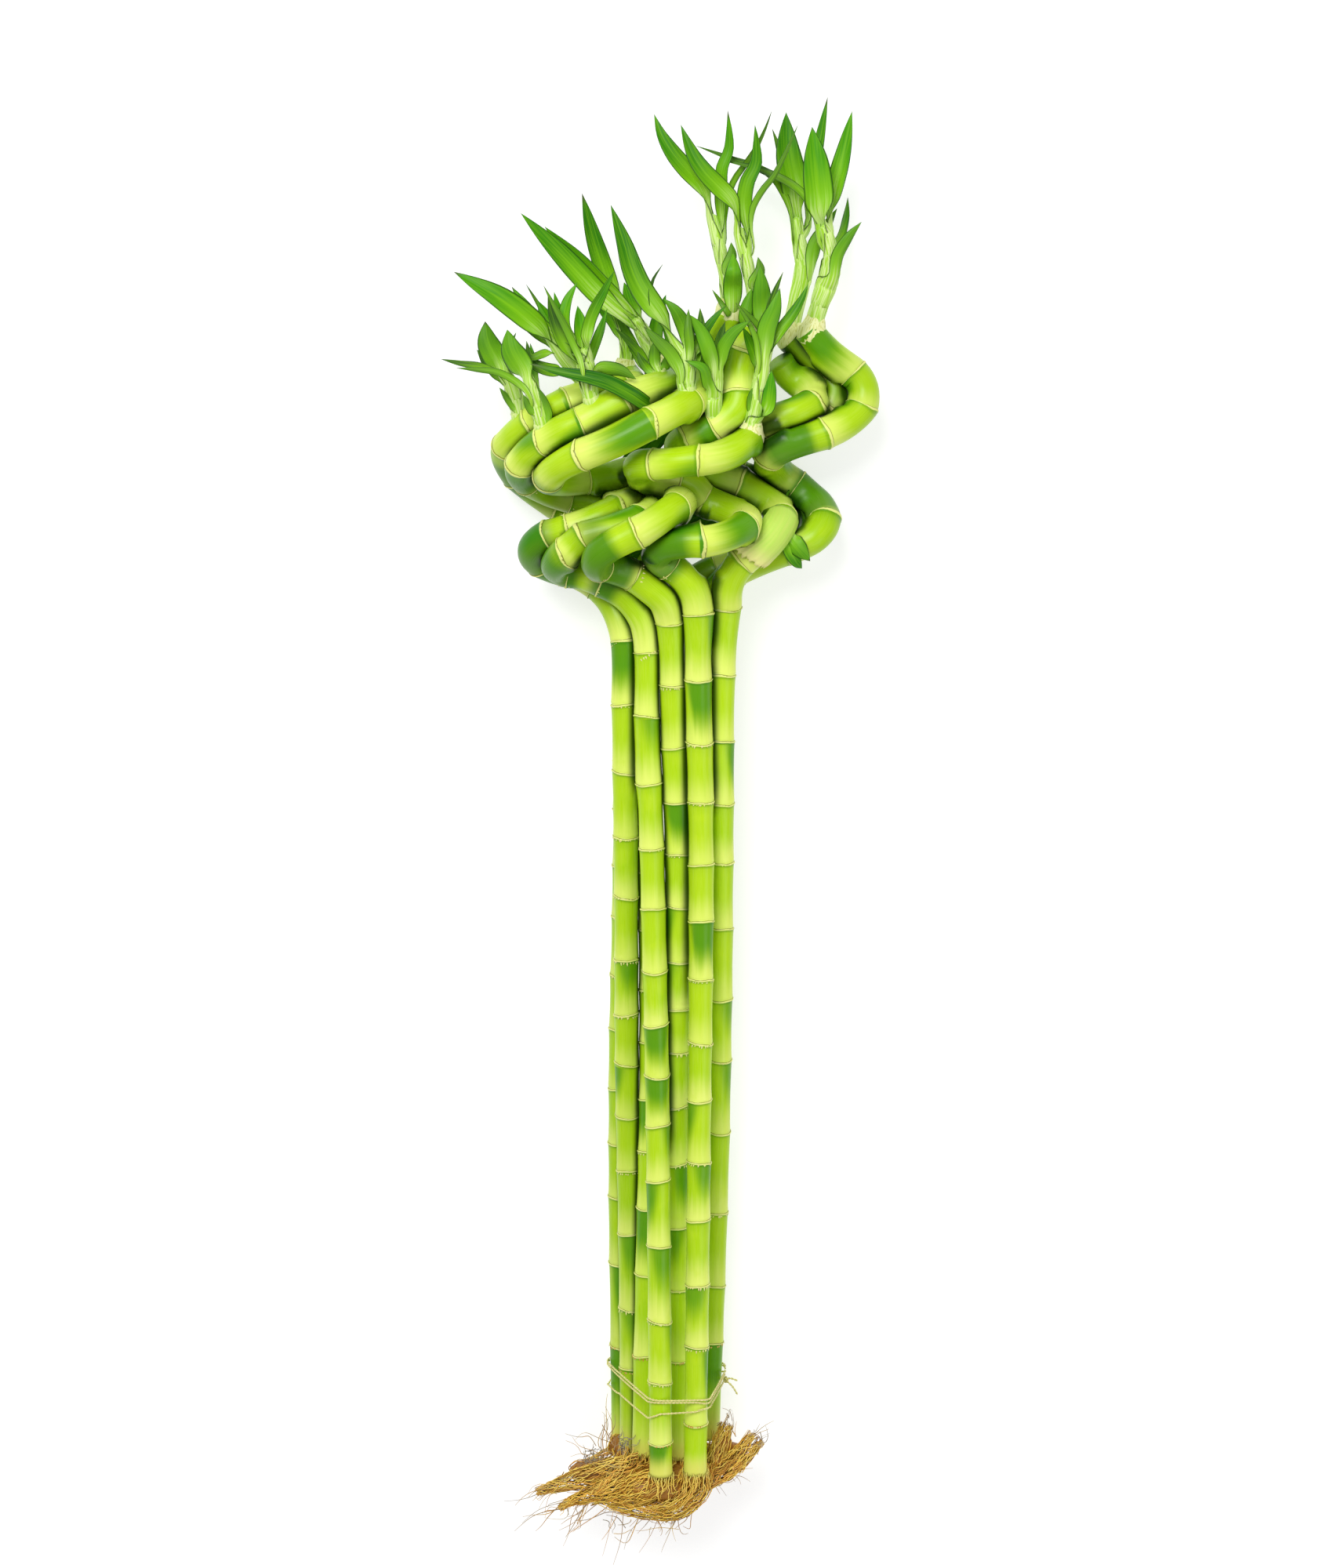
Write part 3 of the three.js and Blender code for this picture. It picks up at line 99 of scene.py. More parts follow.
# Each shoot: its host cane, its stalk as points with a radius, then each blade as full width, the turn
# of the face from the front in degrees, and points from root to tip.
SHOOTS = {
    "shoot_1": (
        "stem_1",
        ((-81, -8, 578, 4.2), (-84, -9, 591, 4.2), (-88, -10, 604, 3.6), (-91, -11, 610, 2.4)),
        (13.5, 10, ((-89, -11, 605), (-95, -13, 616), (-99, -13, 625), (-100, -12, 634))),
        (5, 60, ((-88, -8, 601), (-97, -6, 608), (-105, -4, 619))),
        (3.5, 20, ((-82, -11, 585), (-87, -13, 592), (-93, -13, 600))),
        (3.2, 40, ((-87, -13, 603), (-99, -16, 610), (-110, -17, 612), (-123, -18, 615))),
        (9, -60, ((-87, -6, 599), (-89, 2, 613), (-85, 8, 627))),
    ),
    "shoot_2": (
        "stem_2",
        ((-67, -21, 571, 4.2), (-70, -23, 585, 4.2), (-74, -24, 598, 3.6), (-76, -25, 605, 2.4)),
        (14, -8, ((-74, -25, 600), (-81, -27, 612), (-85, -27, 620), (-86, -26, 628))),
        (3.2, 40, ((-71, -28, 591), (-78, -31, 599), (-88, -32, 606), (-100, -33, 608), (-112, -34, 609))),
        (5, 15, ((-65, -24, 577), (-67, -26, 588), (-72, -26, 600))),
        (3.5, 30, ((-72, -26, 585), (-75, -28, 589), (-78, -28, 595))),
        (8, -50, ((-73, -19, 595), (-72, -14, 608), (-75, -10, 620))),
    ),
    "shoot_3": (
        "stem_1",
        ((-43, -9, 594, 4.2), (-48, -10, 603, 4.2), (-55, -12, 612, 3.8), (-59, -13, 617, 2.4)),
        (14, 25, ((-55, -13, 612), (-72, -16, 630), (-89, -18, 643), (-113, -16, 657))),
        (12, -15, ((-56, -10, 613), (-68, -10, 627), (-82, -10, 639), (-101, -12, 651))),
        (8, 10, ((-59, -8, 617), (-72, -6, 632), (-84, -4, 649))),
        (11, -10, ((-53, -6, 611), (-62, -3, 626), (-71, -1, 642))),
        (2.6, 50, ((-58, -5, 616), (-68, 2, 635), (-77, 4, 650))),
        (5.5, 30, ((-52, -13, 607), (-67, -14, 607), (-79, -13, 616))),
        (3.6, 45, ((-63, -16, 617), (-73, -18, 613), (-76, -18, 622))),
        (8, 0, ((-55, -5, 611), (-58, 4, 625), (-55, 9, 641))),
    ),
    "shoot_4": (
        "stem_2",
        ((-39, -23, 585, 4.4), (-42, -24, 597, 4.4), (-44, -25, 611, 4), (-45, -26, 618, 2.4)),
        (7, 25, ((-44, -28, 613), (-42, -30, 633), (-36, -31, 645), (-29, -31, 658))),
        (7.5, -25, ((-46, -26, 615), (-54, -27, 629), (-54, -26, 639), (-48, -24, 652))),
        (8, 5, ((-45, -24, 615), (-46, -22, 627), (-48, -21, 640))),
        (7, -15, ((-47, -23, 614), (-55, -21, 629), (-60, -20, 647))),
        (5, 20, ((-48, -27, 612), (-58, -28, 627), (-63, -28, 645))),
        (3.2, 40, ((-43, -30, 605), (-54, -33, 630), (-65, -33, 651))),
        (6, 30, ((-42, -27, 606), (-32, -28, 609), (-18, -27, 603))),
        (7, -40, ((-43, -18, 609), (-37, -12, 624), (-33, -8, 638))),
    ),
    "shoot_5": (
        "stem_2",
        ((-10, 20, 602, 4.4), (-14, 17, 611, 4.4), (-19, 12, 623, 4), (-23, 8, 630, 2.6)),
        (12.5, 15, ((-20, 7, 626), (-38, 3, 639), (-57, 0, 659), (-82, -2, 685))),
        (11, -12, ((-20, 9, 628), (-34, 7, 641), (-50, 6, 658), (-70, 5, 678))),
        (8, 20, ((-21, 12, 628), (-26, 14, 639), (-29, 15, 649))),
        (4, 30, ((-14, 14, 603), (-23, 9, 615), (-34, 7, 626))),
        (4.5, -30, ((-16, 18, 603), (-25, 18, 618), (-35, 17, 638))),
        (8, 0, ((-13, 22, 611), (-12, 27, 626), (-7, 28, 642))),
    ),
    "shoot_6": (
        "stem_1",
        ((-26, 27, 601, 3.6), (-24, 28, 612, 3.4), (-25, 26, 624, 3), (-28, 24, 634, 2.4)),
        (10.5, 10, ((-26, 24, 627), (-33, 22, 649), (-41, 20, 673), (-47, 17, 697))),
        (3, 50, ((-27, 26, 631), (-39, 28, 650), (-49, 29, 665))),
        (4, 35, ((-25, 27, 623), (-37, 32, 647), (-43, 34, 663))),
        (7, -35, ((-24, 31, 618), (-33, 36, 632), (-44, 37, 644))),
    ),
    "shoot_7": (
        "stem_3",
        ((6, -19, 590, 4.4), (5, -20, 601, 4.4), (5, -20, 612, 4.2), (4, -19, 618, 2.6)),
        (12.5, 10, ((4, -18, 615), (-8, -14, 633), (-21, -10, 653), (-27, -8, 671), (-34, -6, 691))),
        (8.5, -10, ((7, -22, 614), (3, -23, 631), (-1, -23, 638), (-7, -22, 644))),
        (6, 20, ((4, -24, 603), (-3, -26, 616), (-9, -26, 622), (-17, -25, 630))),
        (6, -20, ((8, -18, 609), (11, -15, 620), (16, -14, 617))),
        (2.4, 60, ((1, -14, 620), (-13, -12, 640), (-13, -10, 651), (-7, -9, 661))),
        (4, 10, ((7, -24, 612), (6, -26, 626), (6, -26, 639))),
        (4.5, 15, ((8, -20, 612), (12, -18, 625), (12, -17, 639))),
        (7, -40, ((4, -14, 608), (-2, -8, 620), (-8, -6, 632))),
    ),
    "shoot_8": (
        "stem_5",
        ((20, -8, 578, 4.2), (20, -12, 590, 4.2), (21, -14, 604, 3.8), (21, -15, 611, 2.6)),
        (9, 8, ((21, -17, 604), (18, -22, 617), (14, -25, 628), (6, -26, 638))),
        (8, -18, ((22, -16, 604), (24, -20, 618), (29, -22, 627), (39, -22, 634))),
        (7, 30, ((19, -18, 596), (15, -25, 610), (11, -28, 613), (5, -28, 614))),
        (4.5, 0, ((21, -13, 608), (23, -13, 622), (26, -13, 633))),
        (6.5, -35, ((19, -12, 604), (13, -9, 618), (17, -7, 629), (27, -6, 641))),
    ),
    "shoot_9": (
        "stem_3",
        ((30, 9, 633, 4), (29, 8, 647, 3.4), (25, 7, 667, 3.2), (21, 6, 684, 2.6)),
        (10, 8, ((21, 5, 682), (17, 3, 697), (4, 2, 712), (-4, 3, 723), (-9, 5, 736))),
        (7, -12, ((25, 10, 672), (26, 12, 694), (26, 12, 707), (30, 12, 719), (29, 10, 738))),
        (3, 55, ((26, 13, 671), (30, 15, 698), (39, 15, 712), (46, 15, 723), (52, 14, 738))),
        (10.5, 6, ((31, 4, 634), (32, 1, 649), (32, 1, 666))),
        (5, 20, ((27, 4, 655), (31, 3, 662), (31, 4, 671))),
        (2.6, 45, ((31, 4, 632), (26, 1, 640), (21, 0, 647))),
        (7, 70, ((28, 13, 649), (23, 22, 663), (20, 26, 675))),
    ),
    "shoot_10": (
        "stem_5",
        ((43, 3, 627, 4), (42, 2, 642, 3.4), (38, 1, 661, 3.2), (34, 0, 678, 2.6)),
        (10, 8, ((35, -1, 676), (31, -3, 691), (17, -5, 706), (10, -4, 716), (4, -2, 731))),
        (8.5, -12, ((38, 2, 665), (38, 0, 686), (37, -1, 698), (43, -1, 712), (42, -2, 731))),
        (3, 55, ((39, -3, 665), (42, -6, 691), (52, -7, 705), (58, -7, 717), (64, -6, 731))),
        (11, 6, ((46, -4, 628), (46, -7, 645), (45, -7, 660))),
        (7.5, -10, ((40, -1, 627), (38, -3, 637), (41, -3, 648))),
        (2.6, 45, ((46, -5, 626), (40, -8, 634), (34, -9, 640))),
        (5, 20, ((40, -3, 649), (45, -3, 656), (44, -2, 664))),
    ),
    "shoot_11": (
        "stem_6",
        ((62, 24, 621, 4.6), (65, 24, 638, 4.6), (69, 23, 657, 5.2), (67, 22, 670, 3.2), (65, 21, 683, 2.8)),
        (15, 4, ((65, 20, 681), (64, 18, 698), (60, 18, 717), (59, 19, 738))),
        (3.8, 62, ((67, 19, 670), (60, 17, 691), (52, 17, 705), (28, 19, 715), (12, 20, 721))),
        (7, -18, ((69, 24, 675), (73, 26, 700), (77, 28, 723), (81, 28, 746))),
        (6, 12, ((71, 19, 654), (74, 17, 669), (80, 17, 679), (86, 18, 689))),
        (4, 10, ((66, 23, 679), (59, 26, 709), (52, 27, 730))),
        (4.5, 25, ((64, 20, 663), (68, 18, 668), (71, 17, 666))),
    ),
    "shoot_12": (
        "stem_8",
        ((73, 10, 625, 4.8), (77, 9, 640, 4.8), (82, 8, 657, 5.2), (82, 7, 669, 3.4), (79, 6, 680, 3)),
        (16, 4, ((78, 4, 677), (76, 2, 693), (74, 2, 712), (72, 3, 731))),
        (3.8, 62, ((80, 5, 666), (73, 6, 689), (64, 8, 700), (43, 12, 710), (25, 14, 714))),
        (10, -14, ((80, 9, 676), (84, 11, 698), (89, 12, 718), (93, 12, 739))),
        (7, 14, ((83, 4, 651), (85, 2, 663), (90, 1, 673), (98, 1, 683))),
        (4.5, 25, ((78, 3, 658), (80, 1, 664), (84, 0, 662))),
        (8, 50, ((81, 12, 663), (89, 20, 679), (92, 24, 695))),
    ),
    "shoot_13": (
        "stem_4",
        ((42, -9, 570, 4.2), (45, -12, 588, 4), (48, -13, 603, 3.6), (49, -14, 613, 2.6)),
        (10.5, 8, ((49, -15, 608), (50, -17, 625), (54, -18, 636), (57, -17, 648))),
        (6.5, -20, ((49, -12, 610), (57, -11, 625), (66, -10, 637), (72, -9, 650))),
        (8, -8, ((48, -13, 580), (52, -15, 593), (53, -15, 606))),
        (2.6, 45, ((47, -17, 605), (44, -21, 625), (34, -22, 641))),
        (3.5, 30, ((50, -12, 611), (52, -9, 638), (59, -8, 656))),
        (5, -15, ((44, -13, 580), (43, -15, 590), (44, -15, 598))),
        (7.5, 30, ((48, -10, 602), (43, -11, 616), (38, -13, 628))),
    ),
    "shoot_14": (
        "stem_2",
        ((-4, -2, 599, 3.4), (-6, -5, 604, 3.2), (-8, -6, 609, 2.4)),
        (5, 0, ((-8, -7, 606), (-9, -8, 614), (-9, -8, 622))),
        (4, 20, ((-6, -6, 605), (-3, -7, 609), (-3, -8, 615))),
        (4, -20, ((-8, -5, 604), (-14, -5, 609), (-18, -4, 616))),
    ),
    "shoot_15": (
        "stem_5",
        ((57, 8, 529, 3.2), (60, 6, 525, 3), (62, 4, 521, 2.4)),
        (10.5, 15, ((59, 3, 522), (62, -1, 519), (66, -3, 514), (72, -3, 508))),
        (8, -10, ((58, 4, 520), (61, 4, 515), (64, 4, 510), (68, 5, 503))),
    ),
}


# ---- shapes ----


def to_world(points):
    """Bundle millimetres to the shared frame's metres."""
    p = np.asarray(points, float).reshape(-1, 3)
    return np.stack([p[:, 0] + SHIFT[0], p[:, 2] + SHIFT[1], REST_DEPTH - p[:, 1]], 1) / 1000


def to_bundle(points):
    """The shared frame's metres to bundle millimetres."""
    p = np.asarray(points, float).reshape(-1, 3) * 1000
    return np.stack([p[:, 0] - SHIFT[0], REST_DEPTH - p[:, 2], p[:, 1] - SHIFT[1]], 1)


def turned_over(directions):
    """Directions in the bundle as directions in the shared frame."""
    return np.asarray(directions, float)[:, [0, 2, 1]] * (1, 1, -1)


def unit(vectors):
    v = np.asarray(vectors, float)
    return v / np.maximum(np.linalg.norm(v, axis=-1, keepdims=True), 1e-9)


def smoothstep(x, low, high):
    """A soft step from 0 at low to 1 at high."""
    t = np.clip((np.asarray(x, float) - low) / (high - low), 0, 1)
    return t * t * (3 - 2 * t)


def cane_radius(height):
    """How thick a cane's solid is at a height: thicker in the spiral."""
    return CANE_RADIUS + (SPIRAL_RADIUS - CANE_RADIUS) * smoothstep(height, *SPIRAL_START)


def curve_through(points, per_span=CURVE_STEPS):
    """Dense points on a centripetal Catmull-Rom curve through the given ones."""
    p = np.asarray(points, float)
    p = np.vstack([2 * p[0] - p[1], p, 2 * p[-1] - p[-2]])
    steps = np.maximum(np.linalg.norm(np.diff(p, axis=0), axis=1) ** 0.5, 1e-4)
    out = []
    t = (np.arange(per_span) / per_span)[:, None]
    for i in range(1, len(p) - 2):
        before, span, after = steps[i - 1], steps[i], steps[i + 1]
        a, b, c, d = p[i - 1], p[i], p[i + 1], p[i + 2]
        leave = ((b - a) / before - (c - a) / (before + span) + (c - b) / span) * span
        enter = ((c - b) / span - (d - b) / (span + after) + (d - c) / after) * span
        square, cube = 3 * (c - b) - 2 * leave - enter, 2 * (b - c) + leave + enter
        out.append(b + leave * t + square * t**2 + cube * t**3)
    return np.vstack([*out, p[-2:-1]])


class Path:
    """A line through space that can be asked for its place at any distance along it."""

    def __init__(self, points):
        self.points = np.asarray(points, float)
        steps = np.linalg.norm(np.diff(self.points, axis=0), axis=1)
        self.marks = np.concatenate([[0], np.cumsum(steps)])
        self.length = float(self.marks[-1])

    def at(self, distances):
        d = np.atleast_1d(np.asarray(distances, float))
        return np.stack([np.interp(d, self.marks, self.points[:, k]) for k in range(3)], 1)

    def along(self, distances, reach=0.8):
        return unit(self.at(np.asarray(distances) + reach) - self.at(np.asarray(distances) - reach))

    def spaced(self, count):
        return self.at(np.linspace(0, self.length, count))


def frames_along(points):
    """Directions along, across and across again at each point of a line, without twist."""
    p = np.asarray(points, float)
    along = unit(np.vstack([p[1] - p[0], p[2:] - p[:-2], p[-1] - p[-2]]))
    across = np.eye(3)[np.abs(along[0]).argmin()]
    rows = []
    for direction in along:
        across = unit(across - direction * (across @ direction))
        rows.append(across)
    across = np.array(rows)
    return along, across, np.cross(along, across)


def turns_round(count):
    return np.linspace(0, 2 * math.pi, count, endpoint=False)


def bands(rows, count):
    """The faces between closed rings of points."""
    faces = []
    for low in range(0, (rows - 1) * count, count):
        for s in range(count):
            n = (s + 1) % count
            faces.append((low + s, low + n, low + count + n, low + count + s))
    return faces


def round_rings(centres, across, third, turns, radius):
    """Rings of points round a centreline, each point at its own radius."""
    ring = across[:, None] * np.cos(turns)[None, :, None] + third[:, None] * np.sin(turns)[None, :, None]
    return centres[:, None] + ring * radius[..., None]


def straightened(turns, radius, marks, aside):
    """Where each ring point would lie if its stem were straight, for streaks that follow the fibres."""
    level = np.broadcast_to(marks[:, None], radius.shape)
    return np.stack([np.cos(turns) * radius + aside, np.sin(turns) * radius, level], -1)


def front_of(along):
    """At each step of a path, the direction across it that looks to the front, and the one beside that."""
    front = unit(np.array([0, -1, 0]) + along * along[:, 1:2])
    return front, np.cross(along, front)


def folded(upper, lower):
    """Rows that run over one side and back below the other."""
    return np.concatenate([upper, lower[:, ::-1]], 1)


def new_mesh(name, points, edges=(), faces=()):
    mesh = bpy.data.meshes.new(name)
    mesh.from_pydata(points, edges, faces)
    return mesh


def placed(name, data):
    """A new object in the scene, at the origin."""
    piece = bpy.data.objects.new(name, data)
    bpy.context.scene.collection.objects.link(piece)
    return piece


def shown_mesh(piece):
    """A copy of an object's mesh with its modifiers carried out."""
    depsgraph = bpy.context.evaluated_depsgraph_get()
    return bpy.data.meshes.new_from_object(piece.evaluated_get(depsgraph), depsgraph=depsgraph)


def give(mesh, name, values):
    """Gives each vertex of a mesh its own number or direction."""
    values = np.asarray(values, np.float32)
    wide = values.ndim > 1
    layer = mesh.attributes.new(name, "FLOAT_VECTOR" if wide else "FLOAT", "POINT")
    layer.data.foreach_set("vector" if wide else "value", values.ravel())


class Skin:
    """Vertices, faces and per-vertex values of a piece while it is being put together."""

    def __init__(self):
        self.points, self.faces, self.values = [], [], {}
        self.count = 0

    def add(self, points, faces, **values):
        points = np.asarray(points, float).reshape(-1, 3)
        self.faces += [[self.count + i for i in face] for face in faces]
        self.points.append(points)
        for name, value in values.items():
            value = np.asarray(value, float)
            if not value.ndim:
                value = np.full(len(points), float(value))
            self.values.setdefault(name, []).append((self.count, value))
        self.count += len(points)

    def add_tube(self, rings, tips, **values):
        """Rings of like length, closed by a point at each end; values hold one number per ring vertex."""
        rings = np.asarray(rings, float)
        count, sides = rings.shape[:2]
        faces = bands(count, sides)
        start, end, last = count * sides, count * sides + 1, (count - 1) * sides
        for s in range(sides):
            n = (s + 1) % sides
            faces.append((start, n, s))
            faces.append((end, last + s, last + n))
        spread = {}
        for name, value in values.items():
            value = np.asarray(value, float)
            if value.ndim < 3:
                value = np.broadcast_to(value, (count, sides))[..., None]
            flat = value.reshape(count * sides, -1)
            column = np.vstack([flat, value[0].mean(0), value[-1].mean(0)])
            spread[name] = column if column.shape[1] > 1 else column[:, 0]
        self.add(np.vstack([rings.reshape(-1, 3), tips[0], tips[1]]), faces, **spread)

    def add_sheet(self, loops, **values):
        """Rows of like closed loops that each run over a thin sheet and back, closed at both ends."""
        rows, count = loops.shape[:2]
        faces = bands(rows, count)
        for s in range(count // 2 - 1):
            back = count - 1 - s
            faces.append((s + 1, s, back, back - 1))
            end = (rows - 1) * count
            faces.append((end + s, end + s + 1, end + back - 1, end + back))
        spread = {key: value.reshape(rows * count, -1).squeeze() for key, value in values.items()}
        self.add(loops, faces, **spread)

    def build(self, name, material):
        """The finished mesh object at the origin, in the shared frame."""
        mesh = new_mesh(name, to_world(np.vstack(self.points)).tolist(), faces=self.faces)
        for key, parts in self.values.items():
            wide = parts[0][1].ndim > 1
            column = np.zeros((self.count, 3) if wide else self.count, np.float32)
            for first, part in parts:
                column[first : first + len(part)] = part
            give(mesh, key, column)
        mesh.shade_smooth()
        mesh.update()
        mesh.materials.append(material)
        return placed(name, mesh)


def dress(piece, slot, *nodes):
    """Puts a finished piece on the part's only body, in place of its plain solids."""
    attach(piece, "root")
    if nodes:
        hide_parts(*nodes)


def baked(piece, tree, **inputs):
    """Runs a Geometry Nodes tree on a piece and leaves the result as a plain mesh."""
    modifier = piece.modifiers.new(tree.name, "NODES")
    modifier.node_group = tree
    for item in tree.interface.items_tree:
        if item.item_type == "SOCKET" and item.in_out == "INPUT":
            key = item.name.replace(" ", "_")
            if key in inputs:
                modifier[item.identifier] = inputs[key]
    piece.update_tag()
    bpy.context.view_layer.update()
    mesh, name = shown_mesh(piece), piece.name
    bpy.data.objects.remove(piece)
    mesh.name = name
    return placed(name, mesh)


class Cane:
    """A cane's centreline and nodes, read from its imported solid."""

    def __init__(self, name):
        solid = bmesh.new()
        solid.from_mesh(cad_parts[name].data)
        bmesh.ops.remove_doubles(solid, verts=solid.verts, dist=1e-6)
        solid.verts.ensure_lookup_table()
        places = to_bundle([v.co for v in solid.verts])
        near = [[e.other_vert(v).index for e in v.link_edges] for v in solid.verts]
        caps = [
            i
            for i, ring in enumerate(near)
            if len(ring) == CANE_SIDES and np.linalg.norm(places[ring].mean(0) - places[i]) < CAP_SLACK
        ]
        foot = min(caps, key=lambda i: places[i][2])
        seen, layer, rings = {foot}, [foot], []
        while layer:
            layer = sorted({n for i in layer for n in near[i]} - seen)
            seen.update(layer)
            if len(layer) == CANE_SIDES:
                rings.append(places[layer])
        solid.free()
        centres = np.array([ring.mean(0) for ring in rings])
        radii = np.array([np.linalg.norm(ring - ring.mean(0), axis=1).mean() for ring in rings])
        self.name = name
        self.path = Path(curve_through(centres))
        marks = np.array([self.path.marks[i * CURVE_STEPS] for i in range(len(centres))])
        lips = radii > cane_radius(centres[:, 2]) + NODE_LIP / 2
        self.nodes = marks[lips] + NODE_HALF_LENGTH
        self.samples = self.path.spaced(max(2, round(self.path.length / SAMPLE_SPACING) + 1))


@functools.cache
def canes():
    return {name: Cane(name) for name in CANE_NAMES}


def nearest_of(points, target):
    return points[np.linalg.norm(points - target, axis=1).argmin()]


def blade_profile(t):
    """A blade's width along its length, against its full width."""
    t = np.asarray(t, float)
    rise = BLADE_BASE_SHARE + (1 - BLADE_BASE_SHARE) * np.sin(np.pi / 2 * np.minimum(t / BLADE_WIDEST, 1))
    fall = np.cos(np.pi / 2 * np.clip((t - BLADE_WIDEST) / (1 - BLADE_WIDEST), 0, 1) ** BLADE_TAPER)
    return np.where(t < BLADE_WIDEST, rise, fall)


class Shoot:
    """A stalk and its blades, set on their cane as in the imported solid."""

    def __init__(self, name, host, stalk, *leaves):
        self.name = name
        self.host = canes()[host]
        stalk = np.array(stalk, float)
        shift = nearest_of(self.host.samples, stalk[0, :3]) - stalk[0, :3]
        self.stalk = stalk[:, :3] + shift
        self.radii = stalk[:, 3]
        line = curve_through(self.stalk, BLADE_STEPS)
        self.blades = []
        for width, turn, path in leaves:
            points = np.array(path, float) + shift
            root = nearest_of(line, points[0])
            if np.linalg.norm(root - points[0]) > OFF_STALK:
                points = np.vstack([root, points])
            curve = Path(curve_through(points, BLADE_STEPS))
            spans = int(np.clip(math.floor(curve.length / BLADE_RING_SPACING + 0.5), *BLADE_SPANS))
            self.blades.append({"width": width, "turn": turn, "samples": curve.spaced(spans + 1)})


# Old dark leaves, drawn just as given here: their shoot, full width, turn and points. One crosses the
# topmost rows of canes, the others lie behind the spiral and close its gaps.
OLD_LEAVES = (
    (
        "shoot_14",
        9,
        20,
        (
            (-5, -4, 601),
            (-7, -16, 588),
            (-15, -29, 592),
            (-27, -33, 600),
            (-42, -34, 605),
            (-58, -33, 608),
            (-73, -31, 612),
        ),
    ),
    ("shoot_14", 15, 0, ((-4, -2, 600), (-3, 22, 582), (-14, 32, 564), (-34, 33, 548))),
    ("shoot_15", 15, 0, ((57, 8, 529), (40, 26, 536), (16, 33, 524), (-12, 33, 509), (-36, 32, 500))),
    ("shoot_15", 14, 0, ((57, 8, 529), (64, 24, 536), (70, 30, 528), (72, 31, 512))),
)
OLD_LEAF_SAMPLES = 8


@functools.cache
def shoots():
    """All shoots, their blades bent off the canes, the surface below and one another."""
    made = [Shoot(name, *row) for name, row in SHOOTS.items()]
    rows = []
    for owner, shoot in enumerate(made):
        for place, radius in zip(shoot.stalk, shoot.radii):
            rows.append((place, owner, radius, STALK_ROOM, False))
        for blade in shoot.blades:
            count = len(blade["samples"])
            for i, place in enumerate(blade["samples"]):
                half = blade["width"] / 2 * float(blade_profile(i / (count - 1)))
                room = BLADE_ROOM + blade["width"] / 2 * BLADE_FOLD
                rows.append((place, owner, half, room, i > 0))
    at = np.array([row[0] for row in rows])
    owner, half, thick = (np.array([row[k] for row in rows], float) for k in (1, 2, 3))
    free = np.array([row[4] for row in rows])
    foreign = owner[:, None] != owner[None]
    reach = half[:, None] + half[None] + BLADE_MARGIN
    need = thick[:, None] + thick[None]
    order = np.sign(owner[:, None] - owner[None])
    for _ in range(CLEAR_PASSES):
        depth = at[:, None, 1] - at[None, :, 1]
        beside = np.hypot(at[:, None, 0] - at[None, :, 0], at[:, None, 2] - at[None, :, 2])
        side = np.where(depth == 0, order, np.sign(depth))
        push = CLEAR_SHARE * (need - np.abs(depth)) * side
        meeting = foreign & (beside <= reach) & (np.abs(depth) < need)
        at[:, 1] += np.where(free, np.where(meeting, push, 0).sum(1), 0)
        for cane in canes().values():
            gaps = np.linalg.norm(at[:, None] - cane.samples[None], axis=2)
            nearest = cane.samples[gaps.argmin(1)]
            distance = gaps.min(1)
            room = cane_radius(nearest[:, 2]) + NODE_LIP + BLADE_CANE_ROOM
            share = 0.5 * (room - distance) / np.maximum(distance, 0.1)
            share = np.where(free & (distance < room), share, 0)
            at += (at - nearest) * share[:, None]
        at[:, 1] = np.where(free, np.minimum(at[:, 1], REST_DEPTH - BLADE_THICKNESS), at[:, 1])
    place = 0
    for shoot in made:
        place += len(shoot.stalk)
        for blade in shoot.blades:
            count = len(blade["samples"])
            blade["samples"] = at[place : place + count]
            place += count
    for name, width, turn, way in OLD_LEAVES:
        owner = made[list(SHOOTS).index(name)]
        samples = Path(curve_through(np.array(way, float))).spaced(OLD_LEAF_SAMPLES)
        owner.blades.append({"width": width, "turn": turn, "samples": samples, "old": True})
    return made


# ---- finishes ----


def put(tree, kind, inputs=None, **settings):
    """A node in a tree, with its settings made and its inputs set or linked."""
    node = tree.nodes.new(kind)
    for key, value in settings.items():
        setattr(node, key, value)
    for key, value in (inputs or {}).items():
        if isinstance(value, bpy.types.NodeSocket):
            tree.links.new(value, node.inputs[key])
        else:
            node.inputs[key].default_value = value
    return node


def colour(hex_code):
    """A picture colour such as "#9ccc1f" as linear light, opaque."""
    parts = [int(hex_code[i : i + 2], 16) / 255 for i in (1, 3, 5)]
    return (*[p / 12.92 if p <= 0.04045 else ((p + 0.055) / 1.055) ** 2.4 for p in parts], 1.0)


def attribute(tree, name, output="Fac"):
    return put(tree, "ShaderNodeAttribute", attribute_name=name).outputs[output]


def ramp(tree, value, low, high, at_low=0.0, at_high=1.0):
    """A soft step of a value between two bounds."""
    inputs = {"Value": value, "From Min": low, "From Max": high, "To Min": at_low, "To Max": at_high}
    return put(tree, "ShaderNodeMapRange", inputs, interpolation_type="SMOOTHSTEP").outputs[0]


def maths(tree, operation, first, second=0.0):
    return put(tree, "ShaderNodeMath", {0: first, 1: second}, operation=operation).outputs[0]


def times(tree, first, second):
    return maths(tree, "MULTIPLY", first, second)


def plus(tree, first, second):
    return maths(tree, "ADD", first, second)


def noise(tree, place, scale, detail):
    inputs = {"Vector": place, "Scale": scale, "Detail": detail}
    return put(tree, "ShaderNodeTexNoise", inputs).outputs[0]


def own_noise(tree, scale, detail):
    """Noise by the object's own coordinates."""
    return noise(tree, put(tree, "ShaderNodeTexCoord").outputs["Object"], scale, detail)


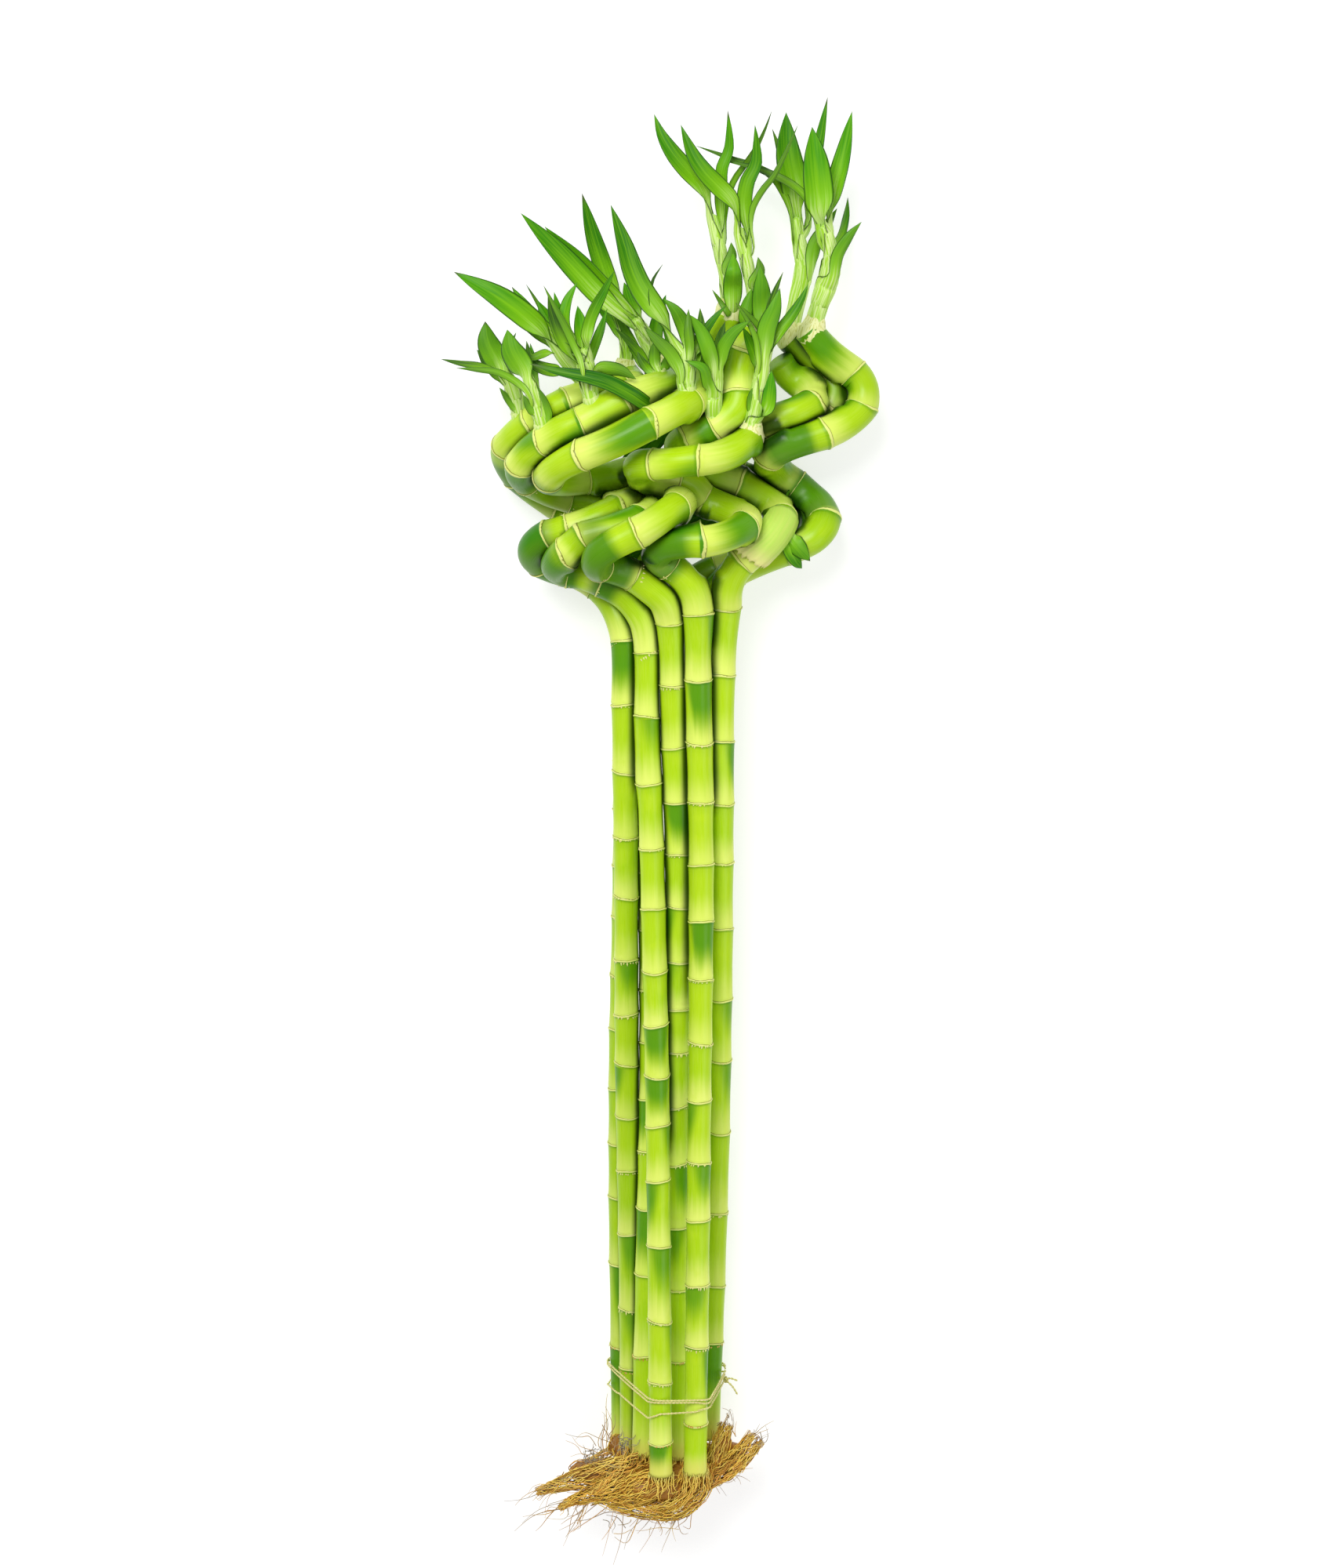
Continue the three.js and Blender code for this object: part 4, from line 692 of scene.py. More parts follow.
def mixed(tree, share, first, second):
    return put(tree, "ShaderNodeMix", {0: share, 6: first, 7: second}, data_type="RGBA").outputs[2]


def painted(tree, base, *coats):
    """A colour with further colours laid over it in turn, each by its own share."""
    for share, coat in coats:
        base = mixed(tree, share, base, coat)
    return base


def new_tree(name, kind, inputs, outputs):
    """An empty node group, and the sockets of its input and output nodes.

    A socket is given by its kind, such as Vector, or by a number that is its default.
    """
    tree = bpy.data.node_groups.new(name, f"{kind}NodeTree")
    for side, sockets in (("INPUT", inputs), ("OUTPUT", outputs)):
        for label, given in sockets.items():
            word = given if isinstance(given, str) else type(given).__name__.capitalize()
            socket = tree.interface.new_socket(label, in_out=side, socket_type=f"NodeSocket{word}")
            if word != given:
                socket.default_value = given
    return tree, tree.nodes.new("NodeGroupInput").outputs, tree.nodes.new("NodeGroupOutput").inputs


@functools.cache
def fibre_streaks():
    """Fine lines along a plant's fibres: stretched noise in its own straightened measure."""
    sockets = {"Straight": "Vector", "Lines per mm": 1.0, "Length mm": 20.0, "Contrast": 1.0}
    tree, given, out = new_tree("Fibre streaks", "Shader", sockets, {"Streak": "Float", "Fine": "Float"})
    lines, length = given["Lines per mm"], maths(tree, "DIVIDE", 1.0, given["Length mm"])
    scale = put(tree, "ShaderNodeCombineXYZ", {0: lines, 1: lines, 2: length}).outputs[0]
    inputs = {0: given["Straight"], 1: scale}
    stretched = put(tree, "ShaderNodeVectorMath", inputs, operation="MULTIPLY").outputs[0]
    broad, fine = noise(tree, stretched, 0.5, 3.0), noise(tree, stretched, 2.2, 2.0)
    centred = maths(tree, "SUBTRACT", broad, 0.5)
    tree.links.new(times(tree, centred, given["Contrast"]), out["Streak"])
    tree.links.new(fine, out["Fine"])
    return tree


@functools.cache
def soft_blotches():
    """Large soft patches as a mask from 0 to 1."""
    sockets = {"Place": "Vector", "Size mm": 20.0, "Cover": 0.5}
    tree, given, out = new_tree("Soft blotches", "Shader", sockets, {"Mask": "Float"})
    scale = maths(tree, "DIVIDE", 1.0, given["Size mm"])
    patches = noise(tree, given["Place"], scale, 4.0)
    low = maths(tree, "SUBTRACT", 0.72, times(tree, given["Cover"], 0.4))
    tree.links.new(ramp(tree, patches, low, plus(tree, low, 0.12)), out["Mask"])
    return tree


def grouped(tree, group, **inputs):
    node = put(tree, "ShaderNodeGroup", node_tree=group)
    for key, value in inputs.items():
        socket = node.inputs[key.replace("_", " ")]
        if isinstance(value, bpy.types.NodeSocket):
            tree.links.new(value, socket)
        else:
            socket.default_value = value
    return node.outputs


def new_finish(name, **shader_values):
    """A material with a plain shader whose constant values sit on its own sockets."""
    material = bpy.data.materials.new(name)
    material.use_nodes = True
    shader = material.node_tree.nodes["Principled BSDF"]
    for key, value in shader_values.items():
        shader.inputs[key.replace("_", " ")].default_value = value
    return material, material.node_tree


def relief(tree, height, strength, depth_mm):
    inputs = {"Height": height, "Strength": strength, "Distance": depth_mm / 1000}
    return put(tree, "ShaderNodeBump", inputs).outputs[0]


def fibres(tree, lines, length, contrast):
    """Streaks along a plant's fibres, by their lines in a millimetre, their length and their contrast."""
    straight = attribute(tree, "straight", "Vector")
    given = {"Straight": straight, "Lines_per_mm": lines, "Length_mm": length, "Contrast": contrast}
    return grouped(tree, fibre_streaks(), **given)


def finished(material, *values):
    """Links a material's colour, and the roughness and relief where they are given too."""
    shader = material.node_tree.nodes["Principled BSDF"].inputs
    for name, value in zip(("Base Color", "Roughness", "Normal"), values):
        material.node_tree.links.new(value, shader[name])
    return material


def cane_finish(look):
    """Waxy green cane: pale above each ring, dark below it, with a cream ridge and a brown line, and painted
    shade where canes touch, below ridges, behind the front and on lobe ends.
    """
    material, tree = new_finish(
        "Waxy green cane", Coat_Weight=0.04, Coat_Roughness=0.2, Specular_IOR_Level=0.2
    )
    straight = attribute(tree, "straight", "Vector")
    share, patch = attribute(tree, "share"), attribute(tree, "patch")
    streaks = fibres(tree, 0.9, 26.0, 0.35)
    streak, fine = streaks["Streak"], streaks["Fine"]
    blotch = grouped(tree, soft_blotches(), Place=straight, Size_mm=16.0, Cover=0.4)["Mask"]

    # The dark end of an internode, partly its own darker green and partly painted shadow as from a
    # neighbouring cane: its edge follows the streaks, and it reaches down on one side.
    wavering = plus(tree, share, times(tree, streak, 0.5))
    reach = ramp(tree, plus(tree, wavering, times(tree, patch, 0.65)), 0.72, 1.3)
    dark = times(tree, reach, ramp(tree, patch, 0.0, 1.0, 0.3, 0.85))

    # The bands of a ring, by the distance from its middle: painted shade below it, ridge, and thin line
    # above, whose brown is partly painted shadow in the groove there.
    side = maths(tree, "SUBTRACT", 1.0, times(tree, maths(tree, "GREATER_THAN", share, 0.5), 2.0))
    offset = times(tree, attribute(tree, "ring_distance"), side)
    band = plus(tree, offset, times(tree, streak, 0.9))
    under = times(tree, ramp(tree, band, -2.4, -0.7), ramp(tree, band, -0.6, -0.45, 1.0, 0.0))
    ridge = times(tree, ramp(tree, band, -0.6, -0.42), ramp(tree, band, 0.2, 0.4, 1.0, 0.0))
    line = times(tree, ramp(tree, band, 0.2, 0.32), ramp(tree, band, 0.45, 0.62, 1.0, 0.0))

    height = put(tree, "ShaderNodeSeparateXYZ", {0: straight}).outputs[2]
    foot = ramp(tree, plus(tree, height, times(tree, streak, 9.0)), 2.0, 15.0, 1.0, 0.0)
    base = painted(
        tree,
        look.pale,
        (ramp(tree, plus(tree, share, streak), 0.02, 0.55), look.middle),
        (times(tree, blotch, 0.3), look.yellow),
        (times(tree, ramp(tree, fine, 0.35, 0.7), 0.1), look.pale),
        (ramp(tree, attribute(tree, "tone"), 0.0, 1.0, 0.0, 0.35), look.yellow),
        # The dark end of each internode, partly painted shadow on one side.
        (dark, look.dark),
        # Painted shade on the lobes' dark ends, behind the front and in the head.
        (times(tree, attribute(tree, "shade"), 0.9), look.deep),
        # Painted shadow just below each ring's ridge.
        (times(tree, under, 0.4), look.deep),
        (times(tree, ridge, 0.85), look.ridge_colour),
        # The thin line's brown is partly painted shadow in the groove above the ring.
        (times(tree, line, 0.8), look.line),
        (times(tree, foot, 0.85), look.foot),
        # Painted shade where two canes touch.
        (times(tree, ramp(tree, attribute(tree, "crease"), 0.1, 0.85), 0.92), look.crease),
        (ramp(tree, attribute(tree, "scar"), 0.2, 0.9), look.scar),
    )
    waxy = ramp(tree, fine, 0.3, 0.7, 0.27, 0.38)
    rough = put(tree, "ShaderNodeMix", {0: ridge, 2: waxy, 3: 0.6}, data_type="FLOAT").outputs[0]
    return finished(material, base, rough, relief(tree, fine, 0.12, 0.3))


def leaf_finish(look):
    """Green blades with lengthwise veins, pale clasping bases, dark rims, and cream scales at the foot."""
    material, tree = new_finish(
        "Bamboo leaf", Coat_Weight=0.02, Coat_Roughness=0.3, Specular_IOR_Level=0.15
    )
    tip, kind, under = (attribute(tree, name) for name in ("tip", "tone", "under"))
    across = maths(tree, "ABSOLUTE", attribute(tree, "rib"))
    veins = fibres(tree, 0.62, 60.0, 1.0)
    fine = veins["Fine"]
    lines = ramp(tree, fine, 0.4, 0.62)
    wander = plus(tree, tip, times(tree, veins["Streak"], 0.35))
    wander = plus(tree, wander, times(tree, across, 0.12))
    stripes = times(tree, lines, ramp(tree, wander, 0.05, 0.5, 0.85, 0.0))
    groove = times(tree, ramp(tree, across, 0.0, 0.06, 0.3, 0.0), ramp(tree, tip, 0.0, 0.3))
    edge = times(tree, ramp(tree, across, 0.82, 0.98), ramp(tree, tip, -0.25, 0.2, 0.35, 0.9))
    dry = plus(tree, tip, times(tree, attribute(tree, "wilt"), 0.06))
    scales = mixed(tree, ramp(tree, fine, 0.45, 0.7), look.scales, look.scale_lines)
    base = painted(
        tree,
        look.middle,
        (ramp(tree, kind, 0.0, 1.0), look.dark),
        (ramp(tree, kind, 1.0, 1.5), look.tendril),
        (ramp(tree, wander, 0.3, 0.8, 0.8, 0.0), look.bright),
        (times(tree, lines, 0.25), look.bright),
        (ramp(tree, wander, 0.1, 0.42, 1.0, 0.0), look.base),
        (stripes, look.stripe),
        (groove, look.bright),
        (times(tree, under, ramp(tree, tip, 0.1, 0.4, 0.0, 0.4)), look.under),
        (edge, look.edge),
        (ramp(tree, dry, 0.96, 1.04), look.dry),
        (ramp(tree, attribute(tree, "collar"), 0.3, 0.7), scales),
    )
    return finished(material, base, ramp(tree, fine, 0.3, 0.7, 0.36, 0.5), relief(tree, fine, 0.4, 0.4))


def root_finish(look):
    """Golden-brown roots: cream where they leave a cane, with a painted highlight along their crowns and
    painted shade on their flanks, between them.
    """
    material, tree = new_finish("Golden brown root", Specular_IOR_Level=0.4)
    tone, tip, crown = (attribute(tree, name) for name in ("tone", "tip", "crown"))
    broad, fine = own_noise(tree, 45.0, 3.0), own_noise(tree, 900.0, 2.0)
    base = painted(
        tree,
        look.dark,
        (ramp(tree, tone, 0.0, 0.25), look.middle),
        (ramp(tree, tone, 0.25, 0.7), look.golden),
        (ramp(tree, broad, 0.58, 0.7, 0.0, 0.6), look.middle),
        # Painted highlight along each root's crown.
        (times(tree, ramp(tree, crown, 0.4, 0.9, 0.0, 0.75), tone), look.pale),
        (ramp(tree, fine, 0.55, 0.74, 0.0, 0.25), look.dark),
        (ramp(tree, tip, -0.95, -0.2, 0.9, 0.0), look.fresh),
        (times(tree, attribute(tree, "age"), ramp(tree, broad, 0.25, 0.45)), look.old),
        # Painted shade on each root's flanks, between the roots.
        (ramp(tree, crown, -0.4, 0.45, 0.85, 0.0), look.dark),
    )
    return finished(material, base, ramp(tree, fine, 0.3, 0.7, 0.4, 0.65), relief(tree, fine, 0.5, 0.4))


def string_finish(look):
    """Pale twisted string, with painted shadow in the hollows between its fibres."""
    material, tree = new_finish("Pale twisted string", Sheen_Weight=0.2)
    fuzz, broad = own_noise(tree, 2600.0, 2.0), own_noise(tree, 120.0, 2.0)
    base = painted(
        tree,
        look.shadow,
        (ramp(tree, fuzz, 0.35, 0.65), look.body),
        (ramp(tree, broad, 0.5, 0.7, 0.0, 0.35), look.stain),
    )
    return finished(material, base, ramp(tree, fuzz, 0.3, 0.7, 0.7, 0.92), relief(tree, fuzz, 0.5, 0.2))


def fray_finish(look):
    """Cream shreds of old leaf bases, browned where roots once budded."""
    material, tree = new_finish("Cream fray", Specular_IOR_Level=0.3)
    fine = own_noise(tree, 700.0, 2.0)
    base = painted(
        tree,
        look.fray,
        (ramp(tree, fine, 0.35, 0.65), look.ridge_colour),
        (attribute(tree, "age"), look.bud),
    )
    return finished(material, base, ramp(tree, fine, 0.3, 0.7, 0.5, 0.8), relief(tree, fine, 0.4, 0.2))


def husk_finish(look):
    """Papery dry leaf sheath: cream with green left in its veins and browned torn edges."""
    material, tree = new_finish("Papery dry sheath", Subsurface_Weight=0.05)
    veins = fibres(tree, 0.4, 40.0, 0.2)
    fine = veins["Fine"]
    frayed = plus(tree, attribute(tree, "tip"), times(tree, veins["Streak"], 0.4))
    base = painted(
        tree,
        look.body,
        (ramp(tree, fine, 0.35, 0.7, 0.0, 0.5), look.vein),
        (ramp(tree, frayed, 0.6, 1.05), look.torn),
    )
    return finished(material, base, ramp(tree, fine, 0.3, 0.7, 0.5, 0.75), relief(tree, fine, 0.5, 0.4))


# ---- canes ----

RING_SPACING = 2.2
CLOSEST_RINGS = 0.25
NODE_RINGS = np.arange(-2.8, 2.9, 0.35)
# In the spiral the grown canes' skins lie this far outside their solids, but not at cut ends. They
# reach for a neighbour that is nearer than these gaps, on the straight part and in the spiral.
PLUMP = 0.8
PLUMP_HEIGHTS = (450, 500)
CUT_END = (3, 16)
NEAR = (6.0, 8.0)
NEAR_EDGE = (0.7, 1)
# How far round a cane the swelling and the painted shade where canes touch reach, in radians.
CREASE_WIDTH = 0.55
# Rings: how far they lean, the count and height of the waves in them, and where the swelling, the ridge
# and the groove above it lie, how wide they are and how deep the groove is.
RING_LEAN = (0.2, 1.2)
RING_WAVES = ((2, 0.18), (5, 0.1))
SWELLING_WIDTH = 2.6
RIDGE_AT, RIDGE_WIDTH = -0.15, 0.5
GROOVE_AT, GROOVE_WIDTH, GROOVE_DEPTH = 0.75, 0.3, 0.25
OVAL = 0.1
CANE_FLOOR = REST_DEPTH - 0.1
# How many internodes are dark on one side below their upper ring, partly as painted shadow, how dark, and how
# much of the way round.
DARK_SHARE = 0.6
DARK_STRENGTH = (0.6, 1.2)
DARK_SIDE = (0.3, 1.0)
# The heights from which canes are a little shaded, and the depths over which they pass into shade.
HEAD_HEIGHTS = (450, 520)
HIDDEN_DEPTHS = (-5, 28)
# The soft edge of the lobes' dark green, which is painted shade, against its reach, and the depths over which
# it fades.
DARK_EDGE = (0.55, 1.1)
DARK_DEPTHS = (24, 42)
# Where lobes are dark green in the photograph: across, height and reach in millimetres.
DARK_END_SHADE = (
    (-72, 511, 17),
    (-58, 503, 12),
    (-38, 514, 13),
    (1, 514, 13),
    (74, 538, 15),
    (62, 571, 13),
    (-88, 548, 14),
    (-70, 553, 8),
    (-32, 500, 12),
)
SCAR_HOST = "stem_4"
SCAR_PLACE = (-8.0, -20.0, 513.0)
SCAR_SIDE = (0.25, -0.95, 0.1)
SCAR_HALF = (2.6, 3.0, 3.2)
SCAR_EDGE = (0.7, 1.1)


def ring_marks(cane):
    """Distances of the skin's rings: evenly spaced, and close together round each node."""
    even = np.arange(0, cane.path.length, RING_SPACING)
    near = (cane.nodes[:, None] + NODE_RINGS).ravel()
    marks = np.unique(np.clip(np.concatenate([even, near, [cane.path.length]]), 0, cane.path.length))
    kept = [marks[0]]
    for mark in marks[1:]:
        if mark - kept[-1] > CLOSEST_RINGS:
            kept.append(mark)
    return np.array(kept)


def plumpness(cane, marks):
    """How far a grown cane lies outside its solid: only in the spiral, and not at its cut end."""
    height = cane.path.at(marks)[:, 2]
    return PLUMP * smoothstep(height, *PLUMP_HEIGHTS) * smoothstep(cane.path.length - marks, *CUT_END)


def neighbours(cane, centres, plump, across, third, turns):
    """How far a cane swells to meet the canes beside it, and how much painted shade each point gets where
    they touch.
    """
    swell = np.zeros((len(centres), len(turns)))
    crease = np.zeros_like(swell)
    rows = np.arange(len(centres))
    near = NEAR[0] + (NEAR[1] - NEAR[0]) * smoothstep(centres[:, 2], *PLUMP_HEIGHTS)
    for other in canes().values():
        if other is cane:
            continue
        away = other.samples[None] - centres[:, None]
        nearest = np.linalg.norm(away, axis=2).argmin(1)
        reach = away[rows, nearest]
        gap = np.linalg.norm(reach, axis=1) - cane_radius(centres[:, 2])
        gap = gap - cane_radius(other.samples[nearest, 2]) - 2 * plump
        facing = np.arctan2((reach * third).sum(1), (reach * across).sum(1))
        turn = np.angle(np.exp(1j * (turns[None] - facing[:, None])))
        share = np.exp(-((turn / CREASE_WIDTH) ** 2)) * (1 - smoothstep(gap / near, *NEAR_EDGE))[:, None]
        swell = np.maximum(swell, 0.5 * np.maximum(gap, 0)[:, None] * share)
        crease = np.maximum(crease, share)
    return swell, crease


def dark_ends(centres):
    """How much of the lobes' dark green, a painted shade, lies on each ring of a cane."""
    dark = np.zeros(len(centres))
    for across, height, reach in DARK_END_SHADE:
        away = np.hypot(centres[:, 0] - across, centres[:, 2] - height) / reach
        dark = np.maximum(dark, 1 - smoothstep(away, *DARK_EDGE))
    return dark * (1 - smoothstep(centres[:, 1], *DARK_DEPTHS))


def bud_scar(cane, rings):
    """How much of the bud scar lies on each point: a small wedge on the front of one lobe."""
    if cane.name != SCAR_HOST:
        return np.zeros(rings.shape[:2])
    spot = cane.samples[np.abs(cane.samples - np.array(SCAR_PLACE)).sum(1).argmin()]
    away = rings - (spot + np.array(SCAR_SIDE) * SPIRAL_RADIUS)
    return 1 - smoothstep(np.linalg.norm(away / np.array(SCAR_HALF), axis=-1), *SCAR_EDGE)


def ring_levels(cane, turns, rng):
    """How far along the cane each ring lies, at each turn round it: rings lean and wave a little."""
    count = len(cane.nodes)
    tilt = rng.uniform(*RING_LEAN, (count, 1)) * np.cos(turns - rng.uniform(*ANY_TURN, (count, 1)))
    ripple = 0
    for waves, height in RING_WAVES:
        ripple = ripple + height * np.cos(waves * turns + rng.uniform(*ANY_TURN, (count, 1)))
    return cane.nodes[:, None] + tilt + ripple


def cane_piece(cane, number, settings, material):
    """A cane's skin with its rings, and the values that its finish is coloured by."""
    rng = np.random.default_rng(100 + number)
    marks = ring_marks(cane)
    centres = cane.path.at(marks)
    _, across, third = frames_along(centres)
    sides = settings.sides
    turns = turns_round(sides)
    count = len(cane.nodes)
    levels = ring_levels(cane, turns, rng)
    foot, top = np.zeros((1, sides)), np.full((1, sides), cane.path.length)
    edges = np.vstack([foot, levels, top])
    nearest = np.abs(marks[:, None] - cane.nodes[None]).argmin(1)
    offset = marks[:, None] - levels[nearest]
    internode = nearest[:, None] + (offset >= 0)
    low = np.take_along_axis(edges, internode, 0)
    high = np.take_along_axis(edges, internode + 1, 0)
    share = np.clip((marks[:, None] - low) / np.maximum(high - low, 1), 0, 1)
    radius = cane_radius(centres[:, 2])[:, None] * (1 - settings.waist * np.sin(math.pi * share) ** 2)
    radius = radius + settings.swelling * np.exp(-((offset / SWELLING_WIDTH) ** 2))
    radius = radius + settings.ridge * np.exp(-(((offset - RIDGE_AT) / RIDGE_WIDTH) ** 2))
    radius = radius - GROOVE_DEPTH * np.exp(-(((offset - GROOVE_AT) / GROOVE_WIDTH) ** 2))
    lean = rng.uniform(*ANY_TURN, (count + 1, 1))
    radius = radius + OVAL * np.cos(2 * (turns - np.take_along_axis(lean, internode[:, :1], 0)))
    tone = rng.uniform(0, 1, count + 1)[internode]
    # One-sided dark patches below the upper ring: partly the cane's own darker green, partly painted shadow
    # as cast by a neighbouring cane.
    facing = rng.uniform(*ANY_TURN, (count + 1, 1))
    one_sided = 0.5 + 0.5 * np.cos(turns - np.take_along_axis(facing, internode[:, :1], 0))
    strength = rng.uniform(*DARK_STRENGTH, count + 1) * (rng.uniform(0, 1, count + 1) < DARK_SHARE)
    patch = np.clip(strength[internode] * smoothstep(one_sided, *DARK_SIDE), 0, 1)
    # Painted shade: darkest on the lobes' dark ends, less on canes behind the front, and a little in the
    # head.
    head = smoothstep(centres[:, 2], *HEAD_HEIGHTS)
    hidden = smoothstep(centres[:, 1], *HIDDEN_DEPTHS) * (0.2 + 0.25 * head)
    shade = np.clip(0.95 * dark_ends(centres) + hidden + 0.05 * head, 0, 0.95)
    plump = plumpness(cane, marks)
    swell, crease = neighbours(cane, centres, plump, across, third, turns)
    radius = radius + swell + plump[:, None]
    rings = round_rings(centres, across, third, turns, radius)
    rings[..., 1] = np.minimum(rings[..., 1], CANE_FLOOR)
    skin = Skin()
    skin.add_tube(
        rings,
        (centres[0], centres[-1]),
        crease=crease,
        straight=straightened(turns, radius, marks, 40 * number),
        ring_distance=np.abs(offset),
        share=share,
        tone=tone,
        patch=patch,
        shade=shade[:, None],
        scar=bud_scar(cane, rings),
    )
    return skin.build(f"{cane.name}_skin", material)


# ---- shoots ----

# How finely stalks and blades are drawn, and over how many millimetres a stalk's ribs wind once round.
STALK_SIDES = 14
STALK_RINGS = 18
STALK_TWIST = 23
LEAF_STATIONS = 20
LEAF_COLUMNS = np.linspace(-1, 1, 9)
LEAF_STEPS = 12
LEAF_END = 0.985
CLASP_STATIONS = 7
CLASP_REACH = 13.0
# Blades up to this width are drawn as narrow ones: a little wider than given, and less turned.
NARROW = 6.0
NARROW_WIDTH, NARROW_TURN = 1.3, 0.5
# Blades whose ends lie nearer together than this have curled up, and stay undrawn.
SHORTEST = 10.0
# Along a blade: where it turns from its stalk's side to its own face, and how far it clasps the stalk.
TURN_OVER = (0.04, 0.42)
CLASP_SHARE = 0.3
# How high a blade lies on its stalk, how much higher each further one does, and how deep its base sinks.
LAYER_START, LAYER_STEP, LAYER_SINK = 0.22, 0.1, 0.2
# How far a blade bends round, in radians: all along, and more where it clasps and below that.
BEND_ALONG = 0.45
BEND_WIDE, BEND_NARROW = (1.45, 1.0), (0.6, 0.3)
# How far a blade's rims rise, how high it waves, and its half-thickness at the rims and in the middle.
RIM_RISE = 0.09
WAVE_HEIGHT = 0.05
RIM_THICKNESS, MIDDLE_THICKNESS = 0.12, 0.16
# Collars of cream scales: how far along the stalk, and how thick. An end collar caps a cane's cut tip,
# where a stalk starts within reach of it. A side collar is drawn for a stalk of full thickness.
END_COLLAR_AT = (-6.8, -5.6, -3.2, -0.4, 2.4, 5.0, 7.4, 9.4)
END_COLLAR = tuple(zip(END_COLLAR_AT, (2.2, 5.0, 6.9, 7.5, 7.2, 6.3, 5.3, 4.6)))
SIDE_COLLAR = ((4.0, 5.4), (6.2, 5.3), (7.6, 5.1), (8.8, 4.9), (9.6, 4.4))
TIP_REACH = 5
FULL_STALK = 4.6


def stalk_rings(shoot):
    """The stalk's centreline, and the place and radius of its rings."""
    path = Path(curve_through(shoot.stalk))
    own = np.linalg.norm(np.diff(shoot.stalk, axis=0), axis=1)
    marks = np.linspace(0, path.length, STALK_RINGS)
    radius = np.interp(marks / path.length, np.concatenate([[0], np.cumsum(own)]) / own.sum(), shoot.radii)
    return path, marks, radius


def add_stem(skin, centres, marks, full, end, seed, **values):
    """A round stem of the shoot: its stalk or its collar."""
    _, across, third = frames_along(centres)
    turns = turns_round(STALK_SIDES)
    skin.add_tube(
        round_rings(centres, across, third, turns, full),
        (centres[0], end),
        straight=straightened(turns, full, marks, 60 * seed),
        rib=0.0,
        wilt=0.0,
        **values,
    )


def add_stalk(skin, shoot, tone, seed):
    path, marks, radius = stalk_rings(shoot)
    centres = path.at(marks)
    ribs = np.cos(3 * turns_round(STALK_SIDES) + 2 * math.pi * marks[:, None] / STALK_TWIST)
    full = radius[:, None] * (1 + 0.05 * ribs)
    end = centres[-1] + (centres[-1] - centres[-2]) * 0.6
    tip = (0.02 + 0.1 * marks / marks[-1])[:, None]
    add_stem(skin, centres, marks, full, end, seed, tip=tip, tone=tone, under=0.25, collar=0.0)


def add_collar(skin, shoot, seed):
    """The cream scales where a stalk leaves its cane."""
    at_tip = np.linalg.norm(shoot.host.path.points[-1] - shoot.stalk[0]) < TIP_REACH
    stations = END_COLLAR if at_tip else SIDE_COLLAR
    heading = unit(shoot.stalk[1] - shoot.stalk[0])
    marks = np.array([mark for mark, _ in stations])
    sizes = np.array([size for _, size in stations]) * (1 if at_tip else shoot.radii[0] / FULL_STALK)
    centres = shoot.stalk[0] + heading * marks[:, None]
    turns = turns_round(STALK_SIDES)
    ragged = 0.25 * np.sin(5 * turns + seed) + 0.2 * np.sin(9 * turns + 2 * seed)
    full = sizes[:, None] * (1 + 0.03 * np.sin(3 * turns + marks[:, None]))
    full = full + ragged * (np.arange(len(marks)) > 2)[:, None]
    collar = np.linspace(0.7, 1.0, len(marks))[:, None] * (1 if at_tip else 0.5)
    add_stem(skin, centres, marks, full, centres[-1], seed, tip=0.0, tone=0.0, under=0.0, collar=collar)


